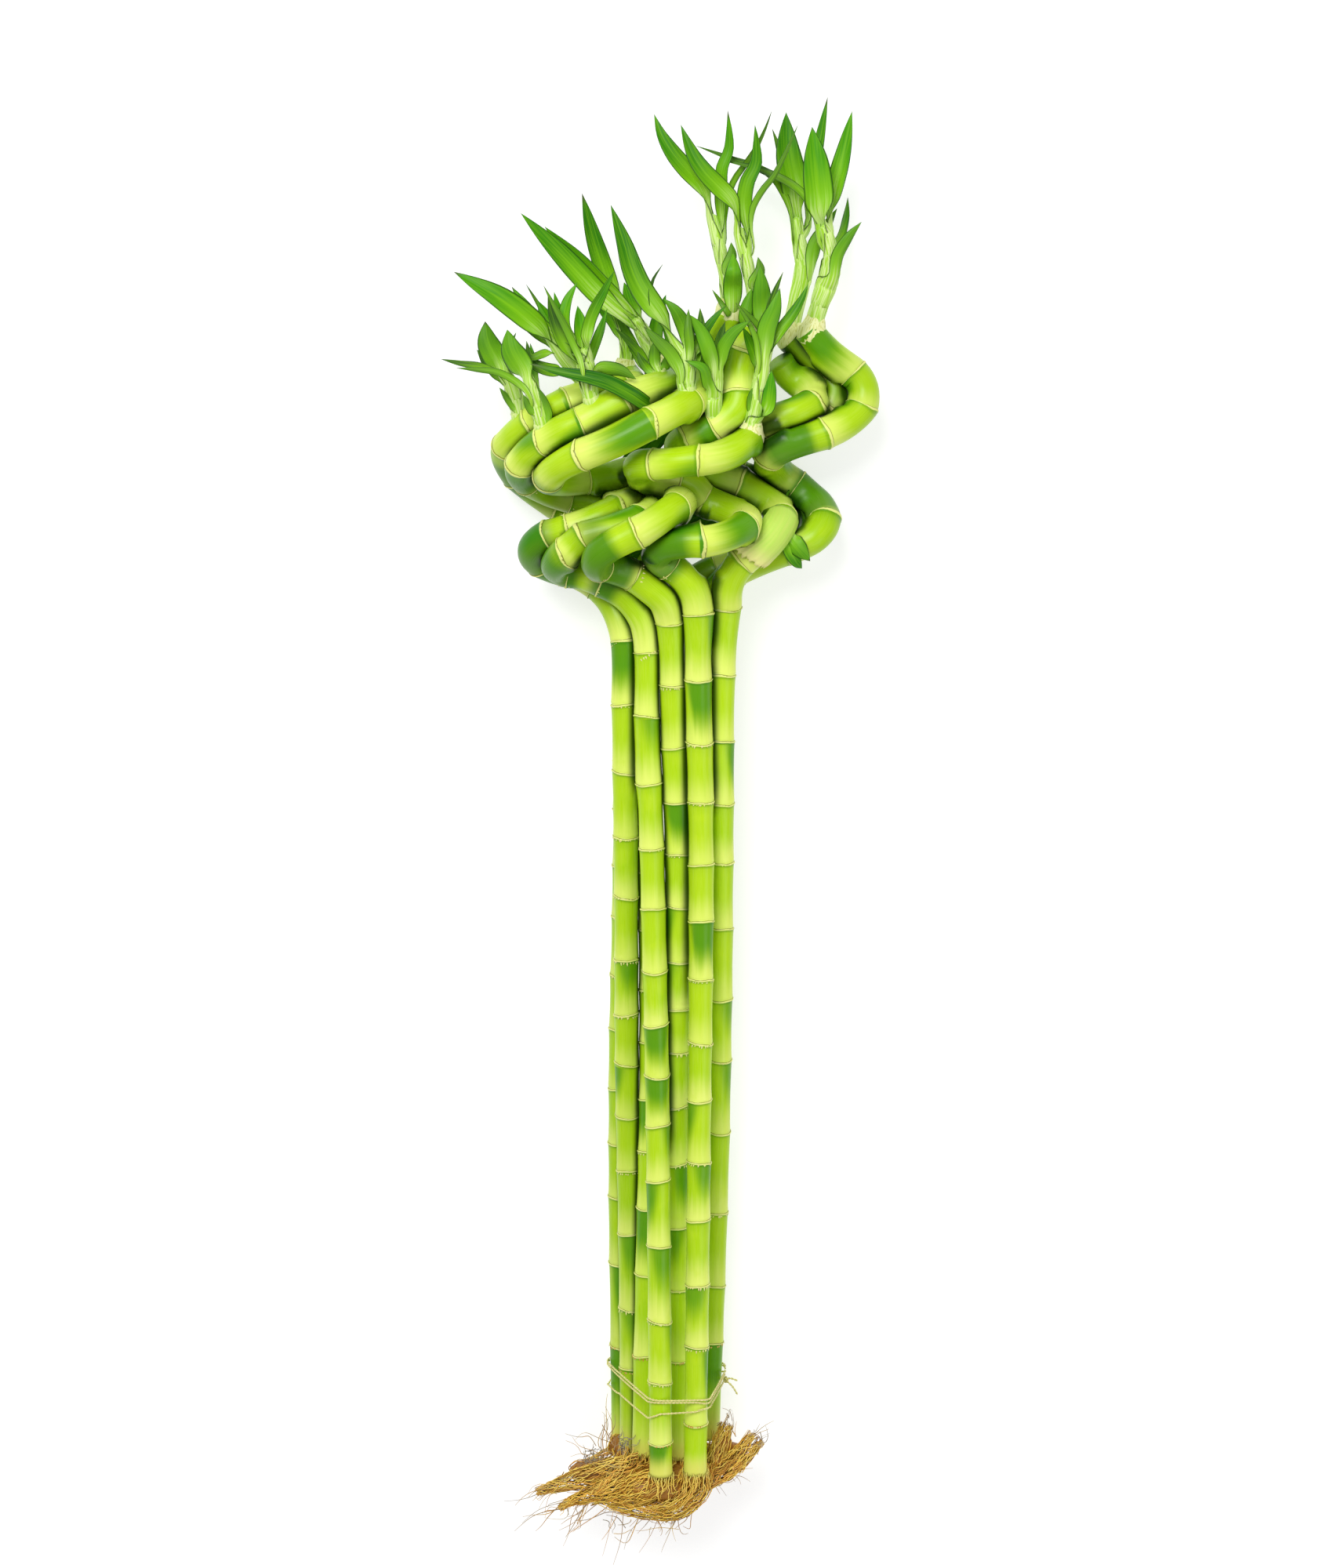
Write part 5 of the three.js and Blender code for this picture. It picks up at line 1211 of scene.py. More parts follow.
def add_leaf(skin, shoot, blade, layer, rng, seed):
    """One blade: it clasps its stalk, opens, folds along its middle and is drawn out to a point."""
    curve = Path(curve_through(blade["samples"], LEAF_STEPS))
    path, stalk_marks, radii = stalk_rings(shoot)
    old = "old" in blade
    wide = blade["width"] > NARROW and not old
    foot = path.marks[np.linalg.norm(path.points - curve.points[0], axis=1).argmin()]
    below = min(foot, CLASP_REACH if wide else CLASP_REACH / 2)
    clasp = np.linspace(foot - below, foot, CLASP_STATIONS, endpoint=False)
    grip = np.concatenate([np.linspace(1, 0, CLASP_STATIONS, endpoint=False), np.zeros(LEAF_STATIONS)])
    share = np.concatenate([np.zeros(CLASP_STATIONS), np.linspace(0, LEAF_END, LEAF_STATIONS)])
    marks = share * curve.length
    marks[:CLASP_STATIONS] = clasp - foot
    free = marks[CLASP_STATIONS:]
    centre = np.vstack([path.at(clasp), curve.at(free)])
    along = np.vstack([path.along(clasp), curve.along(free, curve.length / 40)])
    for _ in range(2):
        along[1:-1] = unit(along[:-2] + along[1:-1] + along[2:])
    width = blade["width"] * (1 if wide or old else NARROW_WIDTH)
    half = width / 2 * blade_profile(share)

    # The blade's own face, and the side of the stalk that it clasps.
    turn = math.radians(blade["turn"] * (1 if wide or old else NARROW_TURN))
    front, other = front_of(along)
    face = front * math.cos(turn) + other * math.sin(turn)
    axis = path.at(stalk_marks)
    leave = CLASP_STATIONS
    clear = centre[leave + int(LEAF_STATIONS * CLASP_SHARE)]
    away = clear - axis[np.linalg.norm(axis - clear, axis=1).argmin()]
    away = away - along[leave] * (away @ along[leave])
    if np.linalg.norm(away) < 0.5:
        away = -face[leave]
    inward = unit(-away - along * (-away @ along.T)[:, None])
    if inward[leave] @ face[leave] < -0.3:
        face = -face
    turned = smoothstep(share, *TURN_OVER)[:, None]
    face = unit(inward * (1 - turned) + face * turned)
    face = unit(face - along * (face * along).sum(1, keepdims=True))
    side = np.cross(along, face)

    # How far the blade bends round at each station, and how high it lies on the stalk.
    raised = LAYER_START + LAYER_STEP * layer
    hug = np.interp(foot + np.minimum(marks, 0), stalk_marks, radii)
    hug = hug + raised - (raised + LAYER_SINK) * grip**3
    close = 1 - smoothstep(share, 0.0, CLASP_SHARE)
    hold, wrap = BEND_WIDE if wide else BEND_NARROW
    bend = BEND_ALONG + hold * close + wrap * grip
    wrapped = hug * bend
    half = half * (1 - close) + (wrapped if wide else np.minimum(half, wrapped)) * close
    centre = centre - face * (hug * close)[:, None]
    columns = LEAF_COLUMNS[None]
    angle = columns * bend[:, None]
    arm = (half / bend)[:, None]
    lift = arm * (1 - np.cos(angle)) + RIM_RISE * half[:, None] * np.abs(columns) * turned
    beats, phase = rng.uniform(1.5, 3.0), rng.uniform(*ANY_TURN)
    wave = np.sin(2 * math.pi * (share * beats)[:, None] + phase + columns * 0.8)
    lift = lift + WAVE_HEIGHT * half[:, None] * wave * columns**2 * turned
    middle = centre[:, None] + side[:, None] * (arm * np.sin(angle))[..., None]
    middle = middle + face[:, None] * lift[..., None]
    thick = RIM_THICKNESS + MIDDLE_THICKNESS * (1 - np.abs(columns) ** 3)
    thick = thick * (1 - 0.5 * share[:, None])
    skin_out = face[:, None] * thick[..., None]
    loop = np.concatenate([LEAF_COLUMNS, LEAF_COLUMNS[::-1]])
    flat = loop[None] * half[:, None] + 60 * seed
    long = np.broadcast_to(marks[:, None], flat.shape)
    skin.add_tube(
        folded(middle + skin_out, middle - skin_out),
        (centre[0], curve.points[-1]),
        straight=np.stack([flat, 0 * flat + seed * 7.3, long], -1),
        tip=(0.45 + 0.55 * share if old else share - 0.3 * grip)[:, None],
        rib=np.broadcast_to(loop, flat.shape),
        tone=rng.uniform(0, 0.8) if wide else 1.1 if old else 1.6,
        under=np.repeat([0.0, 1.0], len(LEAF_COLUMNS)),
        wilt=rng.uniform(0, 1) ** 2,
        collar=0.0,
    )


def shoot_piece(shoot, number, material):
    """A stalk with its collar and blades; the higher a blade starts, the nearer it lies to the stalk."""
    rng = np.random.default_rng(300 + number)
    skin = Skin()
    add_stalk(skin, shoot, rng.uniform(0, 1), number)
    add_collar(skin, shoot, number)
    by_height = sorted(range(len(shoot.blades)), key=lambda index: -shoot.blades[index]["samples"][0][2])
    for index, blade in enumerate(shoot.blades):
        if np.linalg.norm(blade["samples"][-1] - blade["samples"][0]) > SHORTEST:
            add_leaf(skin, shoot, blade, by_height.index(index), rng, number + index / 7)
    return skin.build(f"{shoot.name}_leaves", material)


# ---- roots ----

# The mat's body: lumps with their middle and half sizes, grown together.
ROOT_LUMPS = (
    ((-8, 4, -12), (29, 25, 11.5)),
    ((-40, 5, -10), (18, 12, 5)),
    ((26, 6, -3), (8, 10, 9)),
    ((-28, 25, -4), (8, 9, 7)),
    ((-4, 29, -10), (25, 12, 9)),
    ((30, 4, 4), (4, 5, 10)),
    ((36, 3, 2), (5, 5, 5)),
)
# Which way the roots run over the mat: a place and a direction there.
ROOT_FLOW = (
    ((-45, 0, -12), (-1, -0.05, -0.35)),
    ((-25, -4, -8), (-0.9, -0.1, -0.5)),
    ((-8, -8, -9), (-0.6, -0.2, -0.8)),
    ((-10, -6, -20), (-1, 0, -0.1)),
    ((6, -8, -21), (-1, 0, -0.25)),
    ((15, -4, -16), (-0.6, 0, -0.8)),
    ((20, 0, -8), (-0.2, 0, -1)),
    ((28, 3, 4), (-0.25, 0, -1)),
    ((36, 3, 8), (-0.7, 0, -0.75)),
    ((-30, 25, 8), (0.2, -0.1, -1)),
    ((-4, 34, -10), (-0.8, 0.2, -0.5)),
    ((12, 32, -12), (0.6, 0.2, -0.6)),
)
ROOT_PLACES = np.array([place for place, _ in ROOT_FLOW], float)
ROOT_LEADS = unit(np.array([lead for _, lead in ROOT_FLOW], float))
FLOW_REACH = 13
# Locks of roots that leave the mat: their way with a half-thickness at each point, how many roots they
# hold and how old they look.
ROOT_LOCKS = (
    (((-16, -6, 3, 4), (-30, -7, -3, 6), (-46, -4, -9, 6), (-62, -1, -15, 4), (-76, 1, -21, 1.5)), 230, 0.12),
    (
        ((-8, -13, -4, 5), (-26, -12, -12, 6), (-42, -9, -18, 5), (-54, -6, -22, 3.2), (-63, -4, -28, 1.5)),
        210,
        0.0,
    ),
    (
        ((-44, -8, -17, 4), (-28, -12, -22, 5), (-10, -13, -25, 5), (5, -13, -23, 6), (16, -10, -16, 5)),
        230,
        0.0,
    ),
    (((4, -12, -22, 5), (15, -10, -16, 6), (19, -7, -8, 5), (20, -5, 0, 3)), 120, 0.0),
    (((16, -2, -12, 5), (23, 0, -5, 5), (27, 2, 6, 4.5), (31, 4, 19, 3)), 150, 0.1),
    (((16, -4, -14, 5), (28, -3, -8, 6), (38, -2, 1, 5.5), (48, 0, 13, 5)), 190, 0.05),
    (((-5, -13, 1, 5), (-9, -15, -8, 6), (-20, -14, -16, 6), (-35, -11, -20, 4)), 150, 0.0),
    (((11, -11, 1, 5), (9, -14, -8, 6), (2, -15, -17, 6), (-10, -14, -23, 4)), 150, 0.0),
    (((-20, -2, 7, 5), (-25, -7, -3, 6), (-33, -9, -11, 6), (-46, -7, -17, 4)), 140, 0.15),
    (((-14, 30, -4, 7), (-34, 28, -12, 6), (-50, 26, -17, 3)), 90, 0.2),
    (((6, 30, -4, 7), (20, 28, -10, 6), (33, 26, -14, 3)), 80, 0.2),
)
# Single long hairs: where they leave, where they end, how far apart they leave, and how many.
ROOT_HAIRS = (
    ((-68, 0, -17), (-96, 2, -30), 3, 8),
    ((-60, -3, -22), (-80, 0, -42), 4, 10),
    ((-44, -7, -22), (-60, -6, -44), 5, 12),
    ((-26, -10, -26), (-38, -8, -44), 7, 16),
    ((-6, -12, -27), (-14, -10, -46), 7, 18),
    ((12, -10, -24), (4, -10, -42), 5, 12),
    ((-36, 8, 4), (-38, 8, 30), 3, 9),
    ((-40, 6, 2), (-60, 6, 6), 3, 6),
    ((46, 0, 10), (52, 1, 17), 4, 14),
    ((31, 4, 18), (33, 4, 25), 3, 10),
    ((30, -2, -8), (46, -2, -10), 3, 5),
    ((-30, 30, -16), (-46, 30, -30), 4, 8),
    ((14, 28, -16), (24, 30, -30), 4, 8),
)
# Where tufts of dead grey roots lie, and how many roots each has.
GREY_TUFTS = ((-45, 4, -1), (-26, -3, 10), (-31, -8, -4))
TUFT_ROOTS = 34
# How far up each cane its own roots reach, and how many there are round its foot.
FOOT_ROOTS = dict(zip(CANE_NAMES, (4.0, 1.0, 3.0, 2.5, 7.0, 4.0, 5.0, 4.0)))
ROOTS_PER_FOOT = 28
COMBED_ROOTS = 420
ROOT_POINTS = 9
ROOT_SIDES = 4
ROOT_FLOOR = 41.4
BODY_VOXEL = 1.8
BODY_SMOOTHING = 5
LOCK_SAMPLES = 24
# Ranges that are drawn from: how high combed roots lie on the mat and how long their steps are, how
# long the roots of a lock are, how far foot roots reach down, and how thick each kind is.
COMBED_LIFT, COMBED_STEP = (0.2, 1.3), (1.2, 2.1)
LOCK_LENGTH = (12, 24)
FOOT_REACH = (5, 12)
COMBED_THICKNESS = (0.22, 0.38)
HAIR_THICKNESS = (0.17, 0.28)
TUFT_THICKNESS = (0.14, 0.24)
FOOT_THICKNESS = (0.26, 0.42)


def root_core():
    """The lumps of the mat grown together into one closed, uneven skin."""
    lump = bmesh.new()
    for centre, half in ROOT_LUMPS:
        made = bmesh.ops.create_icosphere(lump, subdivisions=3, radius=1)["verts"]
        for vertex in made:
            vertex.co = Vector(c + h * v for c, h, v in zip(centre, half, vertex.co))
    mesh = bpy.data.meshes.new("root_core")
    lump.to_mesh(mesh)
    lump.free()
    piece = placed("root_core", mesh)
    skin = piece.modifiers.new("one skin", "REMESH")
    skin.mode, skin.voxel_size = "VOXEL", BODY_VOXEL
    piece.modifiers.new("softened", "SMOOTH").iterations = BODY_SMOOTHING
    whole = shown_mesh(piece)
    points = np.array([v.co for v in whole.vertices])
    faces = [list(p.vertices) for p in whole.polygons]
    bpy.data.objects.remove(piece)
    bpy.data.meshes.remove(whole)
    points += 0.7 * np.sin(points[:, [1, 2, 0]] * 0.55) + 0.4 * np.sin(points[:, [2, 0, 1]] * 1.3)
    points[:, 1] = np.minimum(points[:, 1], ROOT_FLOOR)
    return points, faces


def flow_at(place):
    """Which way the roots run at one place of the mat."""
    away = np.linalg.norm(ROOT_PLACES - place, axis=1)
    return unit(np.exp(-((away / FLOW_REACH) ** 2)) @ ROOT_LEADS + 1e-6)


def combed_roots(points, faces, rng):
    """Short winding roots that lie on the mat and run with its flow.

    Each row of roots holds points, outward directions, thickness, tone and age.
    """
    skin = BVHTree.FromPolygons([Vector(p) for p in points], faces)
    rows = []
    for start in rng.integers(0, len(points), COMBED_ROOTS):
        place, lift = points[start], rng.uniform(*COMBED_LIFT)
        drift, step = rng.normal(0, 0.2, 3), rng.uniform(*COMBED_STEP)
        row, outward = [], []
        for _ in range(ROOT_POINTS):
            near, normal, _, _ = skin.find_nearest(Vector(place))
            place = np.array(near) + np.array(normal) * (lift + rng.uniform(-0.15, 0.15))
            row.append(place)
            outward.append(normal)
            place = place + unit(flow_at(place) + drift + rng.normal(0, 0.3, 3)) * step
        thickness, tone = rng.uniform(*COMBED_THICKNESS), rng.uniform(0.1, 1)
        rows.append((np.array(row), np.array(outward), thickness, tone, 0.0))
    return rows


def lock_roots(rng):
    """Short winding roots of the locks, side by side along each lock's way."""
    rows = []
    for way, count, age in ROOT_LOCKS:
        way = np.array(way, float)
        path = Path(curve_through(way[:, :3], 8))
        own = np.linspace(0, path.length, LOCK_SAMPLES)
        _, across, third = frames_along(path.at(own))
        knots = np.linspace(0, path.length, len(way))
        for _ in range(count):
            turn, depth = rng.uniform(0, 2 * math.pi), rng.uniform(0.3, 1.25) ** 0.5
            slope = rng.normal(0, 0.22)
            start = rng.uniform(0, path.length - 6)
            end = min(start + rng.uniform(*LOCK_LENGTH), path.length)
            marks = np.linspace(start, end, ROOT_POINTS)
            half = np.interp(marks, knots, way[:, 3]) * depth
            turns = turn + rng.uniform(-0.5, 0.5) * (marks - start) / 15
            beside, behind = (
                np.stack([np.interp(marks, own, way_out[:, k]) for k in range(3)], 1)
                for way_out in (across, third)
            )
            outward = beside * np.cos(turns)[:, None] + behind * np.sin(turns)[:, None]
            sideways = behind * np.cos(turns)[:, None] - beside * np.sin(turns)[:, None]
            wander = rng.uniform(0.3, 0.8) * np.sin(marks * rng.uniform(0.6, 1.2) + rng.uniform(*ANY_TURN))
            wander = wander + slope * (marks - marks.mean())
            place = path.at(marks) + outward * (half + rng.normal(0, 0.12, ROOT_POINTS))[:, None]
            place = place + sideways * wander[:, None]
            thickness, tone = rng.uniform(*COMBED_THICKNESS), rng.uniform(0.1, 1)
            rows.append((place, outward, thickness, tone, age * rng.uniform(0.3, 1)))
    return rows


def hair_roots(rng):
    """Long single hairs, and tufts of dead grey roots."""
    rows = []
    upward = np.tile((0.0, -0.6, 0.0), (ROOT_POINTS, 1))
    share = np.linspace(0, 1, ROOT_POINTS)[:, None]
    for start, end, spread, count in ROOT_HAIRS:
        for _ in range(count):
            first = np.array(start, float) + rng.normal(0, spread, 3)
            last = np.array(end, float) + rng.normal(0, spread + 1, 3)
            last = first + (last - first) * rng.uniform(0.35, 1.05)
            bow = rng.normal(0, 2.2, 3) * np.sin(math.pi * share)
            bow = bow + rng.normal(0, 0.7, 3) * np.sin(2 * math.pi * share)
            row = first + (last - first) * share + bow
            thickness, tone = rng.uniform(*HAIR_THICKNESS), rng.uniform(0.15, 0.6)
            rows.append((row, upward, thickness, tone, rng.uniform(0.3, 0.95)))
    for centre in GREY_TUFTS:
        for _ in range(TUFT_ROOTS):
            place, row = np.array(centre, float) + rng.normal(0, 2.4, 3), []
            heading = unit(rng.normal(0, 1, 3))
            for _ in range(ROOT_POINTS):
                row.append(place)
                heading = unit(heading + rng.normal(0, 0.5, 3))
                place = place + heading * 0.9
            rows.append((np.array(row), upward, rng.uniform(*TUFT_THICKNESS), 1.0, 1.0))
    return rows


def foot_roots(rng):
    """Roots that leave each cane's foot and cover its rim."""
    rows = []
    for cane in canes().values():
        height = FOOT_ROOTS[cane.name]
        foot = cane.path.points[0]
        for turn in turns_round(ROOTS_PER_FOOT) + rng.uniform(0, 0.2):
            start = height * rng.uniform(0.15, 1)
            marks = np.linspace(start, -rng.uniform(*FOOT_REACH), ROOT_POINTS)
            out = CANE_RADIUS + 0.3 + 0.014 * (start - marks) ** 2 + 0.25 * rng.uniform(0, 1)
            swing = turn + rng.normal(0, 0.06, ROOT_POINTS).cumsum()
            outward = np.stack([np.cos(swing), np.sin(swing), 0 * swing], 1)
            row = np.stack([foot[0] + 0 * out, foot[1] + 0 * out, foot[2] + marks], 1)
            row = row + outward * out[:, None]
            thickness, tone = rng.uniform(*FOOT_THICKNESS), rng.uniform(0.3, 1)
            rows.append((row, outward, thickness, tone, 0.0))
    return rows


def geometry_tree(name, inputs):
    """A Geometry Nodes tree that is given a mesh and these inputs, and gives a mesh back."""
    return new_tree(name, "Geometry", {"Geometry": "Geometry", **inputs}, {"Geometry": "Geometry"})


def named(tree, name, kind="FLOAT"):
    """A value that the mesh's points carry."""
    return put(tree, "GeometryNodeInputNamedAttribute", {"Name": name}, data_type=kind).outputs[0]


def end_tree(tree, geometry, finish, out):
    """Ends a tree with real geometry in one material."""
    real = put(tree, "GeometryNodeRealizeInstances", {"Geometry": geometry.outputs[0]})
    done = put(tree, "GeometryNodeSetMaterial", {"Geometry": real.outputs[0], "Material": finish})
    tree.links.new(done.outputs[0], out["Geometry"])
    return tree


def line_piece(name, lines):
    """Open lines as a mesh of edges, for a tree to work on."""
    points = np.vstack(lines)
    edges, start = [], 0
    for line in lines:
        edges += [(start + i, start + i + 1) for i in range(len(line) - 1)]
        start += len(line)
    return placed(name, new_mesh(name, to_world(points).tolist(), edges))


def root_tree():
    """Every line becomes a tapering root, over the body of the mat."""
    sockets = {"Body": "Object", "Sides": 4, "Thickness": 0.001, "Finish": "Material"}
    tree, given, out = geometry_tree("Combed roots", sockets)
    line = put(tree, "GeometryNodeMeshToCurve", {"Mesh": given["Geometry"]})
    size = {"Resolution": given["Sides"], "Radius": given["Thickness"]}
    ring = put(tree, "GeometryNodeCurvePrimitiveCircle", size)
    both = {"Curve": line.outputs[0], "Profile Curve": ring.outputs[0], "Fill Caps": True}
    tubes = put(tree, "GeometryNodeCurveToMesh", {**both, "Scale": named(tree, "thickness")})
    # How far each point faces out from the mat; the roots' painted highlight and painted shade follow it.
    outward = named(tree, "outward", "FLOAT_VECTOR")
    crown = put(tree, "ShaderNodeVectorMath", {0: outward}, operation="DOT_PRODUCT")
    tree.links.new(put(tree, "GeometryNodeInputNormal").outputs[0], crown.inputs[1])
    facing = {"Geometry": tubes.outputs[0], "Name": "crown", 3: crown.outputs["Value"]}
    marked = put(tree, "GeometryNodeStoreNamedAttribute", facing, data_type="FLOAT", domain="POINT")
    body = put(tree, "GeometryNodeObjectInfo", {"Object": given["Body"]})
    joined = put(tree, "GeometryNodeJoinGeometry")
    for geometry in (marked.outputs[0], body.outputs["Geometry"]):
        tree.links.new(geometry, joined.inputs[0])
    smooth = put(tree, "GeometryNodeSetShadeSmooth", {"Geometry": joined.outputs[0]})
    return end_tree(tree, smooth, given["Finish"], out)


def root_piece(settings, material):
    """The mat: its body under combed roots, locks, hairs and tufts, and fresh roots round the feet."""
    rng = np.random.default_rng(7)
    points, faces = root_core()
    skin = Skin()
    skin.add(points, faces, tone=0.12, tip=0.0, age=0.0)
    body = skin.build("root_body", material)
    rows = combed_roots(points, faces, rng) + lock_roots(rng) + hair_roots(rng)
    fresh = [0.0] * len(rows)
    rows += foot_roots(rng)
    fresh += [-1.0] * (len(rows) - len(fresh))
    share = np.linspace(0, 1, ROOT_POINTS)
    lines, sides, values = [], [], {"thickness": [], "tone": [], "tip": [], "age": []}
    for (line, outward, thickness, tone, age), start in zip(rows, fresh):
        line[:, 1] = np.minimum(line[:, 1], ROOT_FLOOR - thickness)
        lines.append(line)
        sides.append(turned_over(outward))
        values["thickness"].append(thickness * settings.thickness * (1 - 0.6 * share**2))
        values["tone"].append(tone + 0 * share)
        values["tip"].append(start + (1 - start) * share)
        values["age"].append(age + 0 * share)
    piece = line_piece("root_mat_fibres", lines)
    for name, parts in values.items():
        give(piece.data, name, np.concatenate(parts))
    give(piece.data, "outward", np.concatenate(sides))
    mat = baked(piece, root_tree(), Body=body, Sides=ROOT_SIDES, Thickness=0.001, Finish=material)
    bpy.data.objects.remove(body)
    return mat


# ---- ring frays ----

# Shreds round a ring, the share of rings that have any, how far along from their ring they hang, and
# the deepest that they start.
FRAYS_ROUND = 24
RAGGED_SHARE = 0.4
FRAY_LEVEL = -0.45
FRAY_FLOOR = REST_DEPTH - 1.2


def fray_mesh():
    """One torn shred of the old leaf base, in metres: it hangs along +Z and curls out along +X."""
    stations = ((0.0, -0.12, 0.46, 0.16), (0.45, 0.0, 0.36, 0.12), (0.9, 0.08, 0.2, 0.07))
    rings = []
    for down, out, half, thick in stations:
        rings.append([(out + thick, 0, down), (out, half, down), (out - thick, 0, down), (out, -half, down)])
    skin = Skin()
    skin.add_tube(np.array(rings), ((-0.12, 0, 0), (0.26, 0.04, 1.3)))
    return new_mesh("fray", (np.vstack(skin.points) / 1000).tolist(), faces=skin.faces)


def fray_tree():
    """Shreds hung on points, each turned by the point's own directions and sized by its own size."""
    sockets = {"Fray": "Object", "Length": 1.0, "Finish": "Material"}
    tree, given, out = geometry_tree("Hanging frays", sockets)
    length = times(tree, named(tree, "size"), given["Length"])
    scale = put(tree, "ShaderNodeCombineXYZ", {0: 1.0, 1: 1.0, 2: length})
    hanging = {"Vector": named(tree, "down", "FLOAT_VECTOR")}
    turn = put(tree, "FunctionNodeAlignRotationToVector", hanging, axis="Z")
    facing = {"Rotation": turn.outputs[0], "Vector": named(tree, "outward", "FLOAT_VECTOR")}
    turned = put(tree, "FunctionNodeAlignRotationToVector", facing, axis="X", pivot_axis="Z")
    shape = put(tree, "GeometryNodeObjectInfo", {"Object": given["Fray"]})
    hanging = {"Points": given["Geometry"], "Instance": shape.outputs["Geometry"]}
    sized = {"Rotation": turned.outputs[0], "Scale": scale.outputs[0]}
    hung = put(tree, "GeometryNodeInstanceOnPoints", {**hanging, **sized})
    return end_tree(tree, hung, given["Finish"], out)


def frays_piece(settings, material):
    """Torn shreds under the ragged rings, and brown ones round each cane's lowest ring."""
    rng = np.random.default_rng(11)
    turns = turns_round(FRAYS_ROUND)
    rows = {"place": [], "down": [], "outward": [], "size": [], "age": []}
    for cane in canes().values():
        marks = np.concatenate([cane.nodes, cane.nodes - 1])
        marks.sort()
        along, across, third = frames_along(cane.path.at(marks))
        for index, mark in enumerate(cane.nodes):
            ragged = rng.uniform(0.3, 1.3) * (rng.uniform(0, 1) < RAGGED_SHARE)
            row = 2 * index + 1
            first = index == 0
            if not ragged and not first:
                continue
            place = cane.path.at(mark + FRAY_LEVEL)[0]
            plump = float(plumpness(cane, np.array([mark]))[0])
            reach = float(cane_radius(place[2])) + plump + settings.ridge + 0.1
            for turn in turns + rng.uniform(0, 0.4):
                spot = turn + rng.uniform(-0.15, 0.15)
                outward = across[row] * math.cos(spot) + third[row] * math.sin(spot)
                start = place + outward * reach
                rows["place"].append((start[0], min(start[1], FRAY_FLOOR), start[2]))
                rows["down"].append(-along[row] + rng.normal(0, 0.12, 3))
                rows["outward"].append(outward)
                rows["size"].append((0.25 + ragged) * rng.uniform(0.3, 1.0) + (0.6 if first else 0))
                rows["age"].append(rng.uniform(0.6, 1.0) if first else rng.uniform(0, 0.25))
    mesh = new_mesh("ring_frays", to_world(rows["place"]).tolist())
    for name in ("down", "outward"):
        give(mesh, name, turned_over(rows[name]))
    for name in ("size", "age"):
        give(mesh, name, rows[name])
    points, shred = placed("ring_frays", mesh), placed("fray", fray_mesh())
    frays = baked(points, fray_tree(), Fray=shred, Length=1.0, Finish=material)
    bpy.data.objects.remove(shred)
    return frays


# ---- tie string ----

# The string keeps this far off the canes' rings. Its way is found from points round each cane.
STRING_OFF = 0.2
HULL_POINTS = 24
PLY_SIDES = 7
PLY_APART = 0.85
# The knot is a short length wound round itself. A second strand lies beside the first turn.
KNOT_WINDS = 4.4
KNOT_POINTS = 40
STRAND_APART = 1.7


def string_route():
    """The string's way: twice round the hull of the canes from its loose end down to the knot."""
    reach = CANE_RADIUS + NODE_LIP + GAP + STRING_RADIUS + STRING_OFF
    turns = 2 * math.pi * np.arange(HULL_POINTS) / HULL_POINTS
    circles = []
    for cane in canes().values():
        centre = cane.samples[np.abs(cane.samples[:, 2] - STRING_LEVEL).argmin()]
        for turn in turns:
            circles.append((centre[0] + reach * math.cos(turn), centre[1] + reach * math.sin(turn)))
    circles.sort()

    def half_hull(points):
        chain = []
        for point in points:
            while len(chain) > 1 and (
                (chain[-1][0] - chain[-2][0]) * (point[1] - chain[-2][1])
                <= (chain[-1][1] - chain[-2][1]) * (point[0] - chain[-2][0])
            ):
                chain.pop()
            chain.append(point)
        return chain[:-1]

    outline = half_hull(circles) + half_hull(circles[::-1])
    first = max(range(len(outline)), key=lambda i: outline[i][0])
    outline = outline[first:] + outline[:first]
    places = np.arange(len(outline)) / len(outline)
    rows = []
    for heights in STRING_HEIGHTS:
        levels = np.interp(places * (len(heights) - 1), np.arange(len(heights)), heights)
        rows += [(*point, level) for point, level in zip(outline, levels)]
    return np.array(rows)


def string_tree():
    """Two plies laid round each other along a line."""
    sockets = {"Ply radius": 0.0004, "Lay length": 0.0035, "Finish": "Material"}
    tree, given, out = geometry_tree("Twisted string", sockets)
    line = put(tree, "GeometryNodeMeshToCurve", {"Mesh": given["Geometry"]})
    spacing = {"Curve": line.outputs[0], "Length": 0.0005}
    even = put(tree, "GeometryNodeResampleCurve", spacing, mode="LENGTH")
    along = put(tree, "GeometryNodeSplineParameter").outputs["Length"]
    twist = times(tree, maths(tree, "DIVIDE", along, given["Lay length"]), 2 * math.pi)
    tilted = put(tree, "GeometryNodeSetCurveTilt", {"Curve": even.outputs[0], "Tilt": twist})
    size = {"Resolution": PLY_SIDES, "Radius": given["Ply radius"]}
    ply = put(tree, "GeometryNodeCurvePrimitiveCircle", size)
    plies = put(tree, "GeometryNodeJoinGeometry")
    for apart in (PLY_APART, -PLY_APART):
        aside = put(tree, "ShaderNodeCombineXYZ", {0: times(tree, given["Ply radius"], apart)})
        place = {"Geometry": ply.outputs[0], "Translation": aside.outputs[0]}
        tree.links.new(put(tree, "GeometryNodeTransform", place).outputs[0], plies.inputs[0])
    both = {"Curve": tilted.outputs[0], "Profile Curve": plies.outputs[0], "Fill Caps": True}
    rope = put(tree, "GeometryNodeCurveToMesh", both)
    smooth = put(tree, "GeometryNodeSetShadeSmooth", {"Geometry": rope.outputs[0]})
    return end_tree(tree, smooth, given["Finish"], out)


